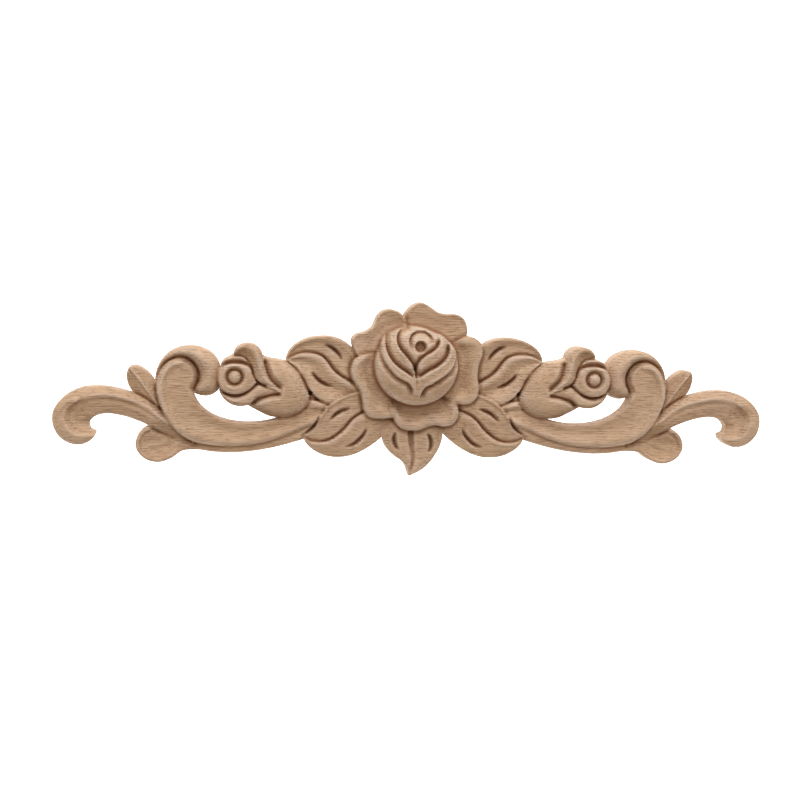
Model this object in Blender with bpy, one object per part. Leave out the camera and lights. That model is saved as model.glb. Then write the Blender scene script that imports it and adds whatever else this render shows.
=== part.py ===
"""Carved rubberwood applique: a rose between two acanthus scrolls with buds.

One piece of wood, carved on its front and flat on its back, to be glued or
pinned to a door, a cabinet or a wall. X runs along its length, Z is up and
the carving faces -Y. The back lies in the plane y = 0 and the origin is the
middle of the back. Outlines are drawn in millimetres as (x, z) and heights
are millimetres above the back. The left wing is drawn and the right wing is
its mirror image; the rose and the leaf under it are drawn whole.
"""
import bmesh
import bpy
import numpy as np
from mathutils import Vector
from mathutils.geometry import delaunay_2d_cdt

MM = 0.001

# Driving sizes, millimetres
LENGTH = 300.0            # over both tail curls
ROSE_TOP = 18.0           # crown of the rose, which is the whole thickness
ROUNDING = 0.9            # sanded radius of the outer edges

# Heights above the back, millimetres
WEB = 5.4                 # wood left between bud, stem and leaf
MARGIN = 5.5              # thin wood under the rose
SMALL_LEAF_RIB = 7.6
SMALL_LEAF_SCOOP = 6.4
SMALL_LEAF_EDGE = 5.0
LOBE_RIM = 7.5
LOBE_FLOOR = 4.6
BAND_DROP = 0.9           # how much lower the band under the C-scroll gets towards the lobe
TAIL_EDGE = 6.4
TAIL_ROD = 9.3
TAIL_CHANNEL = 7.4
HOOK_RIDGE = 9.7          # crest beside the scoop of the hook
HOOK_SCOOP = 5.5
SCROLL_EDGE = 8.2
SCROLL_RIDGE = 9.5
SCROLL_HOLLOW = 8.1
SCROLL_THROAT = 8.6       # inner edge of the C-scroll
SCROLL_DROP = 0.8         # how much lower the C-scroll gets where it dips under the leaf
TONGUE = 9.0
ROLL_FOOT = 5.0
ROLL_TOP = 12.4
STEM_EDGE = 7.0
STEM_TOP = 8.1
BUD_EDGE = 6.6
BUD_TOP = 12.5
BUD_SEAT = 8.4
CRESCENT_TOP = 11.0
HOOD_EDGE = 9.2
HOOD_TOP = 12.8
LIP_TOP = 11.6
BUD_RING = 12.4
BUD_RING_CUT = 9.9
LEAF_VALLEY = 5.0         # ground beside the raised half of a leaf
LEAF_FACE = 6.6
LEAF_CREST = 7.8
LEAF_RIM = 8.2            # the highest rims; the others are given as drops from it
PENDANT_FACE = 7.3
PENDANT_EDGE = 5.9
PETAL_EDGE_DROP = 0.9     # how far the rims of the lower petals roll over
ROSE_FOOT = 8.4
EYE_DEPTH = 4.0

# Sizes in the plane of the board, millimetres
DRAWN_LENGTH = 301.3      # length over the tail curls as drawn below
LOBE_RIM_WIDTH = 1.2
LOBE_SLOPE = 6.0          # from the outline of the lobe to its nearly flat floor
ROLL_ROUNDING = 6.5
ROLL_GAP = 0.9            # cut between the roll and the tongue that it wraps
ROLL_SLOPE = 4.5          # from that cut up to the crown of the roll
BUD_ROUNDING = 8.5
SMALL_ROUNDING = 2.0      # stem, crescent and lip
VEIN_WIDTH = 2.3
VEIN_DEPTH = 3.2
NOTCH_WIDTH = 1.8         # cut that frees the tip of the lower leaf from the C-scroll
NOTCH_DEPTH = 2.8
BUD_DOT = 2.5             # radii on the bud's ring: dot, end of the cut, crest
BUD_CUT = 3.2
BUD_CREST = 4.4
BAND_DIP = (-76, -86)      # x over which the band gets lower
SPOON_START = (-98, -103)  # x over which the band opens into the spoon
HOOK_START = (0.5, 0.66)   # share of the tail's rim over which the rod turns into the hook
SCROLL_DIP = (-62, -46)    # x over which the C-scroll dips under the leaf
UPTURN = (-90, -102)       # x over which the C-scroll turns up into its tongue
HOOD_BEND = (-72, -66)     # x over which the hood of the bud stops being cupped
HEART_DIP = 5.0            # how far from the heart the petals start to rise
HEART_MIDDLE = (0.0, 10.4)
HEART_RADII = (18.3, 17.4)
EYE_RADIUS = 1.9
EYE_RIM = 2.8

# Facet sizes of the solid, millimetres
STEP = 0.28               # half the width of the wall where one form laps another
ROW = 1.7                 # spacing along outlines, crests and cuts
FINE_ROW = 1.2            # spacing along the short cuts
FILL = 3.3                # spacing on open surfaces
CLOSEST = 0.55            # no two points of the front lie closer
CREASE = 0.6              # sharper bends between facets, in radians, are drawn as edges

ELEMENTS = []


def smooth(points, spacing=ROW):
    """A smooth curve through the points, sampled about every spacing."""
    p = np.array(points, float)
    gap = np.linalg.norm(np.diff(p, axis=0), axis=1)
    knot = np.concatenate([[0.0], np.cumsum(gap)])
    slope = np.gradient(p, knot, axis=0, edge_order=2 if len(p) > 2 else 1)
    count = max(int(round(knot[-1] / spacing)), 2) + 1
    place = np.linspace(0.0, knot[-1], count)
    i = np.clip(np.searchsorted(knot, place, side="right") - 1, 0, len(gap) - 1)
    h = gap[i][:, None]
    u = (place - knot[i])[:, None] / h
    start = (1 + 2 * u) * (1 - u) ** 2 * p[i] + u * (1 - u) ** 2 * h * slope[i]
    end = u * u * (3 - 2 * u) * p[i + 1] + u * u * (u - 1) * h * slope[i + 1]
    return start + end


def arc(centre, radii, start, end, spacing=ROW):
    """Points on an ellipse between two angles in degrees."""
    turn = np.radians(end - start)
    count = max(int(abs(turn) * max(radii) / spacing), 4) + 1
    angle = np.radians(start) + np.linspace(0.0, turn, count)
    return np.stack([centre[0] + radii[0] * np.cos(angle),
                     centre[1] + radii[1] * np.sin(angle)], axis=1)


def nearest(points, line):
    """Signed distance to an open line (left of it positive) and how far along it."""
    best = np.full(len(points), np.inf)
    side = np.ones(len(points))
    along = np.zeros(len(points))
    step = np.linalg.norm(np.diff(line, axis=0), axis=1)
    total = step.sum()
    done = 0.0
    for a, b, length in zip(line[:-1], line[1:], step):
        way = (b - a) / length
        rel = points - a
        run = np.clip(rel @ way, 0.0, length)
        off = rel - run[:, None] * way
        dist = np.hypot(off[:, 0], off[:, 1])
        closer = dist < best - 1e-9
        best[closer] = dist[closer]
        side[closer] = np.sign(way[0] * rel[:, 1] - way[1] * rel[:, 0])[closer]
        along[closer] = ((done + run) / total)[closer]
        done += length
    return best * np.where(side < 0, -1.0, 1.0), along


def away(points, line):
    """Plain distance to an open line."""
    return np.abs(nearest(points, line)[0])


def within(points, outline):
    """Which points lie inside a closed outline."""
    inside = np.zeros(len(points), bool)
    x, z = points[:, 0], points[:, 1]
    for a, b in zip(outline, np.roll(outline, -1, axis=0)):
        crosses = (a[1] > z) != (b[1] > z)
        if crosses.any():
            reach = a[0] + (z[crosses] - a[1]) * (b[0] - a[0]) / (b[1] - a[1])
            inside[crosses] ^= x[crosses] < reach
    return inside


def ease(t):
    """A smooth step from 0 to 1."""
    t = np.clip(t, 0.0, 1.0)
    return t * t * (3 - 2 * t)


def change(place, span):
    """A smooth step from 0 at the start of a span to 1 at its end."""
    return ease((place - span[0]) / (span[1] - span[0]))


def section(place, *knots):
    """A carved cross-section: heights at places across a form, eased between them."""
    where = np.array([k[0] for k in knots])
    value = np.array([k[1] for k in knots])
    i = np.clip(np.searchsorted(where, place, side="right") - 1, 0, len(where) - 2)
    return value[i] + (value[i + 1] - value[i]) * ease((place - where[i]) / (where[i + 1] - where[i]))


def pillow(depth, radius):
    """Share of full height at some depth inside an edge that is rounded over a radius."""
    return np.sqrt(np.clip(1 - (1 - np.clip(depth / radius, 0, 1)) ** 2, 0, 1))


def rounded(depth):
    """Height that a sanded edge loses at some depth inside it."""
    gap = np.clip(ROUNDING - np.abs(depth), 0.0, ROUNDING)
    return ROUNDING - np.sqrt(ROUNDING ** 2 - gap ** 2)


def offset(line, distance):
    """A line moved to its left by a distance."""
    way = np.gradient(line, axis=0)
    way /= np.linalg.norm(way, axis=1)[:, None]
    return line + distance * np.stack([-way[:, 1], way[:, 0]], axis=1)


def groove(line, width=VEIN_WIDTH, depth=VEIN_DEPTH):
    """A V-cut that runs out to nothing at both ends of its line."""
    def loss(points):
        dist, along = nearest(points, line)
        swell = np.sqrt(np.clip(4 * along * (1 - along), 1e-6, 1.0))
        return depth * swell * np.clip(1 - 2 * np.abs(dist) / (width * swell), 0.0, 1.0)

    return {"loss": loss, "rows": (line, offset(line, 0.5 * width), offset(line, -0.5 * width))}


def tuck(line, reach, depth, ends=(0.12, 0.12)):
    """A cut with a wall right of its line and a ramp left of it, fading out at its ends."""
    def loss(points):
        dist, along = nearest(points, line)
        swell = ease(along / ends[0]) * ease((1 - along) / ends[1])
        return depth * swell * np.where(dist > 0, 1 - ease(dist / reach), np.clip(1 + dist / STEP, 0.0, 1.0))

    return {"loss": loss, "rows": (line, offset(line, -STEP), offset(line, 0.45 * reach),
                                   offset(line, reach))}


def element(outline, surface, crests=(), cuts=(), wing=True):
    """Adds a carved form that lies over the ones before it."""
    outline = np.array(outline, float)
    ahead = np.roll(outline, -1, axis=0)
    outline = outline[np.hypot(*(ahead - outline).T) > 0.01]
    ahead = np.roll(outline, -1, axis=0)
    if (outline[:, 0] * ahead[:, 1] - outline[:, 1] * ahead[:, 0]).sum() < 0:
        outline = outline[::-1]
    ELEMENTS.append({"outline": outline, "surface": surface, "crests": crests, "cuts": cuts,
                     "wing": wing})


def across(points, edge_a, edge_b):
    """Place across a strip, 0 at edge a to 1 at edge b."""
    a, b = away(points, edge_a), away(points, edge_b)
    return a / np.maximum(a + b, 1e-6)


def inside_of(points, *edges):
    """Depth inside the nearest of some edges."""
    return np.min([away(points, edge) for edge in edges], axis=0)


def strip(edge_a, edge_b):
    """Closed outline of a strip between two edges."""
    return np.concatenate([edge_a, edge_b[::-1]])


def flat(height):
    """Surface of one height."""
    return lambda p: np.full(len(p), height)


def web():
    """Lower wood that joins the forms of a wing, and the disc under the rose."""
    element(smooth([(-50, 6), (-44, 5), (-37, -1), (-32, -8), (-40, -12), (-52, -11), (-52, 0)]), flat(WEB))
    element(arc((0, 4), (20, 17), 0, 350), flat(MARGIN), wing=False)


def small_leaf():
    """Leaf that springs up behind the C-scroll, folded along a raised rib."""
    top = smooth([(-119.2, 8.7), (-116.4, 9.3), (-113, 7.8), (-110, 5), (-107.8, 1), (-105, -9)])
    foot = smooth([(-119.2, 8.7), (-120.3, 5.8), (-119.9, 2), (-117.9, -1.8), (-114, -6), (-107, -12)])
    rib = smooth([(-118.8, 8), (-116, 4.7), (-112.8, 0.3), (-109.8, -4), (-107.5, -7.5)])

    def surface(p):
        side = nearest(p, rib)[0]
        left = section(-side, (0, SMALL_LEAF_RIB), (1.0, SMALL_LEAF_SCOOP), (5, SMALL_LEAF_EDGE))
        right = section(side, (0, SMALL_LEAF_RIB), (1.4, SMALL_LEAF_SCOOP), (5, SMALL_LEAF_SCOOP))
        return np.where(side < 0, left, right) - rounded(inside_of(p, top, foot))

    element(strip(top, foot), surface, crests=(rib,))


LEAF_NOTCH = smooth([(-40.4, -10.9), (-41.2, -13.4), (-42.5, -15.5), (-44.3, -17.3), (-47.2, -19.1)],
                    FINE_ROW)


def lobe():
    """Spoon-shaped lobe under the tail, running right as a band below the C-scroll."""
    rim = smooth([(-38, -18), (-53, -23), (-61, -25), (-72, -26.6), (-84, -26.7), (-92, -25.8),
                  (-97, -26.3), (-101.5, -29.2), (-107.5, -31), (-113.5, -29), (-116.5, -24.5),
                  (-115.5, -19.5), (-111.5, -16)])
    back = smooth([(-38, -12), (-60, -19), (-75, -21), (-90, -19), (-100, -15), (-107, -13),
                   (-111.5, -16)])
    dish = smooth([(-100, -26.8), (-103.5, -28.3), (-107.5, -28.9), (-112, -27.4), (-114.2, -24.2),
                   (-113.4, -20.3)])

    def surface(p):
        inward = away(p, rim)
        bowl = section(inward, (0, LOBE_RIM), (LOBE_RIM_WIDTH, LOBE_RIM),
                       (2 * LOBE_RIM_WIDTH, LOBE_FLOOR + 1.6), (LOBE_SLOPE, LOBE_FLOOR + 0.6),
                       (2 * LOBE_SLOPE, LOBE_FLOOR))
        band = LOBE_RIM - BAND_DROP * change(p[:, 0], BAND_DIP)
        spoon = change(p[:, 0], SPOON_START)
        return band + (bowl - band) * spoon - rounded(inside_of(p, rim, back))

    element(strip(rim, back), surface, crests=(dish,), cuts=(groove(LEAF_NOTCH, NOTCH_WIDTH, NOTCH_DEPTH),))


def tail():
    """Outer tail: a rod along its upper side over a channel, curling down into a scooped hook."""
    rim = smooth([(-97, -17), (-106.5, -9), (-114.8, -3.4), (-123, -0.6), (-132.2, 0.7), (-140, -0.5),
                  (-146.7, -4.6), (-150.4, -10.5), (-150.4, -15.5), (-147.7, -20.6), (-143, -23.4),
                  (-138.8, -23.7), (-135.2, -22.2)])
    throat = smooth([(-92, -23.5), (-104.4, -19.1), (-114.7, -14.1), (-122.9, -11.5), (-129, -10.9),
                     (-133.2, -12.1), (-135.4, -14.9), (-135, -17), (-133, -18)])
    nose = np.array([(-132.6, -18.8), (-133.4, -20.6)])
    inner = np.concatenate([throat, nose])
    crest = smooth([(-103, -11.7), (-114.5, -5.3), (-123, -2.6), (-132, -1.6), (-138.5, -2.8)])
    rod_foot = smooth([(-104, -13.2), (-109.1, -10.4), (-116, -6.8), (-122.8, -5), (-129.6, -4.1),
                       (-136.4, -4.6), (-139.8, -5.6)])
    scoop = smooth([(-142.6, -7.6), (-144.8, -10), (-145.3, -12.8), (-144.5, -15.6), (-142.8, -18),
                    (-140, -19.5), (-136.6, -19.6), (-133.6, -19.4)])

    def surface(p):
        rod = section(across(p, rim, inner), (0, TAIL_EDGE), (0.32, TAIL_ROD),
                      (0.5, 0.5 * (TAIL_ROD + TAIL_CHANNEL)), (0.8, TAIL_CHANNEL), (1, TAIL_EDGE))
        side = nearest(p, scoop)[0]
        outer_side = section(-side, (-1.6, HOOK_RIDGE), (1.5, HOOK_RIDGE - 1), (6, TAIL_EDGE))
        bowl = section(side, (-1.6, HOOK_RIDGE), (2.6, HOOK_SCOOP + 0.5), (4.4, HOOK_SCOOP),
                       (10, TAIL_CHANNEL))
        curled = change(nearest(p, rim)[1], HOOK_START)
        hook = np.where(side < 0, outer_side, bowl)
        return rod + curled * (hook - rod) - rounded(inside_of(p, rim, inner))

    element(strip(rim, inner), surface, crests=(crest, scoop), cuts=(tuck(rod_foot, 3.5, 1.0, (0.2, 0.35)),))


CURL = smooth([(-108.1, -1), (-107.4, 4), (-105.3, 8.7), (-102.4, 11.3), (-99, 12.5), (-95.5, 11.9),
               (-92.6, 9.4), (-91.2, 6), (-91.6, 3), (-92.8, 0.8), (-93.2, -1)])


def scroll():
    """C-scroll: a hollowed band that sweeps up into a tongue inside its own curl."""
    back = smooth([(-36, -12), (-48, -17.2), (-54.5, -19.7), (-62, -22.2), (-70, -23.7), (-78, -24.2),
                   (-86.6, -23.6), (-94, -21.9), (-101, -16.8), (-105.8, -9.2), (-108.2, -0.5),
                   (-107.6, 6), (-104, 11.2), (-99.5, 13)])
    throat = smooth([(-36, -7.6), (-41, -7.4), (-47.5, -7.8), (-54, -10.9), (-60, -13), (-70, -14.2),
                     (-79.7, -12.9), (-85.5, -10.5), (-90.5, -6.1), (-92.7, -1), (-91, 5), (-93, 10.5),
                     (-99.5, 13)])

    def surface(p):
        swept = section(across(p, back, throat), (0, SCROLL_EDGE), (0.17, SCROLL_RIDGE),
                        (0.6, SCROLL_HOLLOW), (1, SCROLL_THROAT)) - SCROLL_DROP * change(p[:, 0], SCROLL_DIP)
        tongue = section(away(p, back), (0, SCROLL_EDGE), (0.9, SCROLL_RIDGE), (1.9, SCROLL_RIDGE),
                         (5, SCROLL_EDGE), (14, TONGUE))
        upturned = change(p[:, 0], UPTURN)
        return swept + (tongue - swept) * upturned - rounded(inside_of(p, back, throat))

    element(strip(back, throat), surface, crests=(offset(back, -1.9),),
            cuts=(groove(LEAF_NOTCH, NOTCH_WIDTH, NOTCH_DEPTH),))


def roll():
    """Fat rolled end of the C-scroll, wrapped over the tongue."""
    outer = smooth([(-108.1, -1), (-108.6, 4), (-107.5, 9), (-104.4, 13.7), (-99.5, 16.8), (-94.5, 17.8),
                    (-89, 16.9), (-84, 13.8), (-81.7, 9.5), (-81.4, 4), (-82.6, -0.8), (-85.8, -2.9),
                    (-89.6, -3), (-92.2, -2.1), (-93.2, -1)])

    def surface(p):
        risen = pillow(away(p, CURL) - ROLL_GAP, ROLL_SLOPE)
        return ROLL_FOOT + (ROLL_TOP - ROLL_FOOT) * pillow(away(p, outer), ROLL_ROUNDING) * risen

    element(strip(outer, CURL), surface,
            crests=(offset(CURL, ROLL_GAP), offset(CURL, 2.2), offset(CURL, 4.2), offset(outer, -1.2)))


def bud():
    """Half-open bud on a short stem, its egg-shaped body wrapped in small petals."""
    stem_top = smooth([(-49, -3.9), (-45, -4.3), (-40, -5), (-33, -6)])
    stem_foot = smooth([(-49, -7.7), (-44, -8.1), (-39, -8.5), (-33, -8.9)])

    def padded(foot, top, radius, *edges):
        return lambda p: foot + (top - foot) * pillow(inside_of(p, *edges), radius)

    element(strip(stem_top, stem_foot), padded(STEM_EDGE, STEM_TOP, SMALL_ROUNDING, stem_top, stem_foot))

    side = smooth([(-70, 15.2), (-67, 14.9), (-62, 13.2), (-54.5, 11.6), (-49.5, 7.9), (-46.2, 2.3),
                   (-44.5, -3.2), (-46, -7.3), (-50.5, -10.6), (-56, -11.8), (-61, -11.4), (-66, -9.2),
                   (-71, -6.5), (-77, -3), (-78, 6)])
    behind_hood = smooth([(-63.9, 12.9), (-63.1, 8.6), (-61.3, 4.4), (-58.6, 1.6), (-56.2, -0.4)])
    under_lip = smooth([(-56.2, -1.3), (-59.6, -1.8), (-62.8, -2.6), (-66.3, -4), (-69.8, -6.4)])
    closed = np.vstack([side, side[:1]])
    element(side, padded(BUD_EDGE, BUD_TOP, BUD_ROUNDING, closed),
            cuts=(tuck(behind_hood, 2.8, 3.0), tuck(under_lip, 2.3, 3.6)))

    seat = smooth([(-81.8, -0.6), (-82.5, 4), (-81.7, 8), (-80, 12), (-77.2, 13.9), (-73, 15.5), (-68, 13),
                   (-64, 4), (-62, 0), (-66, -4), (-71, -6.4), (-76, -6.6), (-79.9, -4.2), (-81.8, -0.6)])
    element(seat, flat(BUD_SEAT))

    crescent_top = smooth([(-81.6, 9.8), (-80.4, 12), (-78.3, 13.3), (-75.3, 13.8), (-72.4, 13.3),
                           (-70.3, 11.6), (-69, 9.4)])
    crescent_foot = smooth([(-81.6, 9.8), (-78.9, 11.6), (-75.9, 12.1), (-72.4, 11.7), (-69, 9.4)])
    element(strip(crescent_top, crescent_foot),
            padded(CRESCENT_TOP - 1, CRESCENT_TOP, SMALL_ROUNDING, crescent_foot))

    hood_top = smooth([(-76.4, 14.1), (-75.2, 17.1), (-71.8, 18.9), (-67.7, 18.6), (-65, 16.4),
                       (-64, 12.8), (-63.3, 8.3), (-61.4, 4.2), (-57, 0)])
    hood_foot = smooth([(-76.4, 14.1), (-72.6, 13.8), (-69.9, 11.6), (-68.4, 8.3), (-67.6, 5.2),
                        (-66, 3.1), (-61.9, 1.4), (-57, 0)])

    def hood(p):
        place = across(p, hood_top, hood_foot)
        cupped = section(place, (0, HOOD_TOP - 1.4), (0.8, HOOD_EDGE), (1, HOOD_EDGE))
        bent = section(place, (0, HOOD_TOP - 1.8), (0.35, HOOD_TOP), (1, HOOD_TOP - 1.2))
        height = cupped + (bent - cupped) * change(p[:, 0], HOOD_BEND)
        return height - rounded(inside_of(p, hood_top, hood_foot))

    element(strip(hood_top, hood_foot), hood)

    lip_top = smooth([(-82.2, -0.6), (-78.8, -2.5), (-75.8, -3.2), (-72.3, -2.4), (-68.7, 0.2),
                      (-66.4, 1.9), (-61.9, 0.9), (-56.8, -1.1)])
    lip_foot = smooth([(-82.2, -0.6), (-80, -4.3), (-76.8, -6.5), (-73.4, -7.1), (-69.6, -6.4),
                       (-66.3, -3.7), (-62.8, -2.4), (-56.8, -1.1)])
    element(strip(lip_top, lip_foot), padded(LIP_TOP - 2.2, LIP_TOP, SMALL_ROUNDING, lip_top, lip_foot))

    eye = (-75.9, 5.2)
    rim = smooth([(-66.5, 2.9), (-68.3, 6.2), (-69.3, 8.9), (-71.8, 10.3), (-75.2, 10.7), (-78.9, 10.4),
                  (-81.6, 9), (-82.9, 5.6), (-82.6, 2.4), (-81.3, -0.3), (-78.7, -1.9), (-75.7, -2.3),
                  (-72.2, -1.7), (-69.2, 0.1), (-66.5, 2.9)])

    def ring(p):
        out = np.hypot(p[:, 0] - eye[0], p[:, 1] - eye[1])
        height = section(out, (0, BUD_RING), (0.7 * BUD_DOT, BUD_RING), (BUD_DOT, BUD_RING_CUT),
                         (BUD_CUT, BUD_RING_CUT), (BUD_CREST, BUD_RING), (9, BUD_RING - 1))
        return height - rounded(away(p, rim))

    element(rim, ring, crests=[arc(eye, (r, r), 0, 340, FINE_ROW)
                               for r in (BUD_CUT, BUD_DOT, BUD_CREST, 0.7 * BUD_DOT)])


def halved_leaf(top, foot, rib, top_rim, foot_rim, root=()):
    """A leaf in two halves along its rib: the one below the rib stands over the other."""
    def surface(p):
        off_rib, to_top, to_foot = nearest(p, rib)[0], away(p, top), away(p, foot)
        over = np.abs(off_rib) / np.maximum(np.abs(off_rib) + to_top, 1e-6)
        under = np.abs(off_rib) / np.maximum(np.abs(off_rib) + to_foot, 1e-6)
        upper = section(over, (0, LEAF_VALLEY), (0.15, LEAF_FACE), (0.55, LEAF_FACE), (0.9, top_rim),
                        (1, top_rim))
        lower = section(under, (0, LEAF_CREST), (0.15, LEAF_CREST), (0.5, LEAF_FACE), (0.85, foot_rim),
                        (1, foot_rim))
        return np.where(off_rib > 0, upper, lower) - rounded(np.minimum(to_top, to_foot))

    outline = np.concatenate([top, np.reshape(root, (-1, 2)), foot[::-1]])
    return outline, surface, (offset(rib, STEP), offset(rib, -STEP))


def upper_leaf():
    """Upper leaf, with an S-shaped rib and a vein cut in each half."""
    top = smooth([(-54.5, 11.7), (-53.6, 15.2), (-51.6, 17.9), (-48.7, 20), (-44.5, 21.7), (-40, 22.4),
                  (-35, 22.1), (-30.5, 20.6), (-26.5, 17.3), (-22, 11)])
    foot = smooth([(-54.5, 11.7), (-51.8, 10), (-49.4, 7.7), (-47.1, 4.2), (-45, 0.1), (-42.6, -2.8),
                   (-39, -5.2), (-34, -6.6), (-27, -6)])
    rib = smooth([(-54.5, 11.7), (-51.6, 13.8), (-48.7, 14.9), (-45.3, 15.2), (-42, 14.8), (-39.3, 13.6),
                  (-37, 11.2), (-34.8, 8.2), (-31.8, 5.6), (-28.8, 3.9), (-22, -0.5)])
    vein = smooth([(-38.6, 18.6), (-36, 17.8), (-33.6, 16), (-31.9, 14), (-31.2, 12)], FINE_ROW)
    under_vein = smooth([(-43.7, 7.4), (-42.2, 5.2), (-39.8, 3.1), (-37.2, 1.8), (-34.5, 1.1)], FINE_ROW)
    outline, surface, crests = halved_leaf(top, foot, rib, LEAF_RIM - 0.7, LEAF_RIM, [(-17, 8), (-17, -2)])
    element(outline, surface, crests, (groove(vein), groove(under_vein)))


def lower_leaf():
    """Lower leaf, spreading down and out from under the rose."""
    top = smooth([(-47, -20), (-44.6, -18.1), (-42.3, -15.9), (-40.8, -13.3), (-39.3, -10.3), (-37.2, -7.4),
                  (-34.9, -5.7), (-31.7, -3.8), (-28.4, -2.1), (-23.8, -1), (-18, -1)])
    foot = smooth([(-47, -20), (-46.2, -22.2), (-44.2, -24.5), (-41, -26.7), (-37.4, -28.1), (-33.5, -28.7),
                   (-29.4, -28.5), (-25.2, -27.4), (-21, -25.4), (-16.8, -22.6), (-13, -19.2), (-10, -15)])
    rib = smooth([(-47, -20), (-44.2, -21.7), (-40.2, -22.3), (-36, -21.5), (-32.5, -19.4),
                  (-29.3, -16.5), (-26.6, -13.2), (-24, -11.1), (-21.5, -9.8), (-16, -8)])
    vein = smooth([(-27, -8.1), (-29.6, -8.6), (-32.1, -9.7), (-34.4, -11.5), (-35.9, -13.4)], FINE_ROW)
    under_vein = smooth([(-20.3, -16.2), (-21.5, -18.9), (-23.6, -21.4), (-26.1, -23.3), (-29.2, -24.2)],
                        FINE_ROW)
    outline, surface, crests = halved_leaf(top, foot, rib, LEAF_RIM, LEAF_RIM - 2.1)
    element(outline, surface, crests, (groove(vein), groove(under_vein)))


def pendant_leaf():
    """Leaf that hangs below the rose, split by a deep middle vein that widens upward."""
    left = smooth([(-2.1, -36.7), (-2.9, -34.3), (-3.9, -32), (-5.8, -29.9), (-8.6, -28), (-11.4, -25.3),
                   (-13.1, -22), (-13.4, -18.5), (-12.7, -14.5), (-9, -8)])
    right = smooth([(-2.1, -36.7), (0.7, -35.6), (3.4, -34.1), (6.3, -31.6), (9, -28), (11.2, -23.8),
                    (12.2, -19.5), (12.1, -15.5), (9, -8)])
    vein = smooth([(-1.9, -35.5), (-0.9, -32), (-0.5, -28.8), (-1, -25), (-1.5, -21), (-1.4, -15), (-1, -8)])
    side_veins = (smooth([(-8, -18), (-8.6, -20.9), (-7.9, -23.5), (-6.5, -25.7)], FINE_ROW),
                  smooth([(5.3, -18.3), (6.9, -20.9), (7.2, -23.6), (5.9, -26.7)], FINE_ROW))

    def surface(p):
        off_vein, along = nearest(p, vein)
        margin = inside_of(p, left, right)
        place = np.abs(off_vein) / np.maximum(np.abs(off_vein) + margin, 1e-6)
        half_width = 0.5 * VEIN_WIDTH * (0.4 + along)
        vee = ease(1.4 * (1 - np.abs(off_vein) / half_width))
        return (section(place, (0, PENDANT_FACE), (0.45, PENDANT_FACE), (1, PENDANT_EDGE))
                - VEIN_DEPTH * (0.27 + 0.73 * along) * vee - rounded(margin))

    element(strip(left, right), surface,
            (vein, offset(vein, 0.5 * VEIN_WIDTH), offset(vein, -0.5 * VEIN_WIDTH)),
            [groove(line) for line in side_veins], wing=False)


HEART_EDGE = smooth([(-17.9, 11.5), (-17.5, 6.8), (-16.1, 3), (-13.7, -0.5), (-10.4, -3.3), (-6.6, -5.3),
                     (-2.5, -6.5), (1.5, -6.6), (5.6, -5.8), (9.6, -3.9), (13.1, -1.1), (15.9, 2.6),
                     (17.6, 7), (18, 11.5), (17.4, 15.3), (16, 18.4), (13.4, 21.2), (10.2, 23.8),
                     (7.2, 24.8), (4.4, 26.1), (1.5, 27), (-1.5, 27.4), (-4.5, 27.2), (-7.5, 26.5),
                     (-10.4, 25.4), (-13.2, 23.8), (-15.2, 21.4), (-16, 18.6), (-17.2, 15.2), (-17.9, 11.5)])


def open_petals():
    """Five open petals, dished from their rolled rims down to the heart."""
    def petal(rim_points, root, floor, rim_height, rolled_over):
        rim = smooth(rim_points)

        def surface(p):
            inward, margin = away(p, HEART_EDGE), away(p, rim)
            place = inward / np.maximum(inward + margin, 1e-6)
            lift = section(place, (0, 0), (0.2, 0.2), (0.75, 1), (1, 1)) * ease(inward / HEART_DIP)
            turned = rolled_over * (1 - ease(margin / SMALL_ROUNDING))
            return floor + (rim_height - floor) * lift - turned - rounded(margin)

        element(np.concatenate([rim, root]), surface, crests=(offset(rim, SMALL_ROUNDING),), wing=False)

    petal([(-8, 27), (-6, 30.2), (-4.4, 32.7), (-2.4, 35.1), (1.8, 36.9), (6, 35), (9.2, 32.9),
           (12.6, 32.2), (16.6, 32.2), (19.6, 30.7), (21.4, 27), (21.3, 22.6)], [(16, 17), (-6, 17)],
          floor=7.3, rim_height=8.5, rolled_over=0)
    petal([(-24.6, 14), (-26.8, 18.4), (-27.1, 21.2), (-25.6, 23.1), (-21, 24.7), (-18.7, 26.4),
           (-16.5, 31), (-14.6, 33), (-11.5, 33.9), (-7.6, 32.9), (-5.1, 30.3), (-4, 26), (-3.5, 20)],
          [(-10, 12)], floor=7.3, rim_height=9.0, rolled_over=0)
    petal([(-14, 14), (-19.2, 15), (-22.6, 14.7), (-25.6, 13.2), (-27.4, 10), (-27.4, 6), (-26, 2.7),
           (-23.6, -0.8), (-22.6, -4.6), (-21.8, -8.8), (-19.6, -11.4), (-14.5, -12.2), (-8, -11.5)],
          [(-5, -8), (-5, 10)], floor=7.0, rim_height=10.2, rolled_over=PETAL_EDGE_DROP)
    petal([(-9.6, -2), (-10, -8), (-9.1, -12.6), (-6.5, -15.8), (-2.2, -17.3), (2, -17), (5.2, -15.7),
           (8.6, -14.9), (12.5, -15.5), (16.2, -14.4), (18.4, -11), (18.4, -7), (15, -2)],
          [(8, 2), (-5, 2)], floor=4.9, rim_height=10.1, rolled_over=PETAL_EDGE_DROP)
    petal([(14, 18.2), (18, 21.3), (21.4, 22.9), (25, 22.2), (27.7, 19.7), (28.4, 16.2), (26.9, 10.5),
           (26.4, 6), (27, 1.8), (26.2, -3), (23.3, -5.7), (19.5, -6.1), (14, -4)],
          [(8, 0), (8, 14)], floor=6.9, rim_height=9.8, rolled_over=PETAL_EDGE_DROP)


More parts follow.
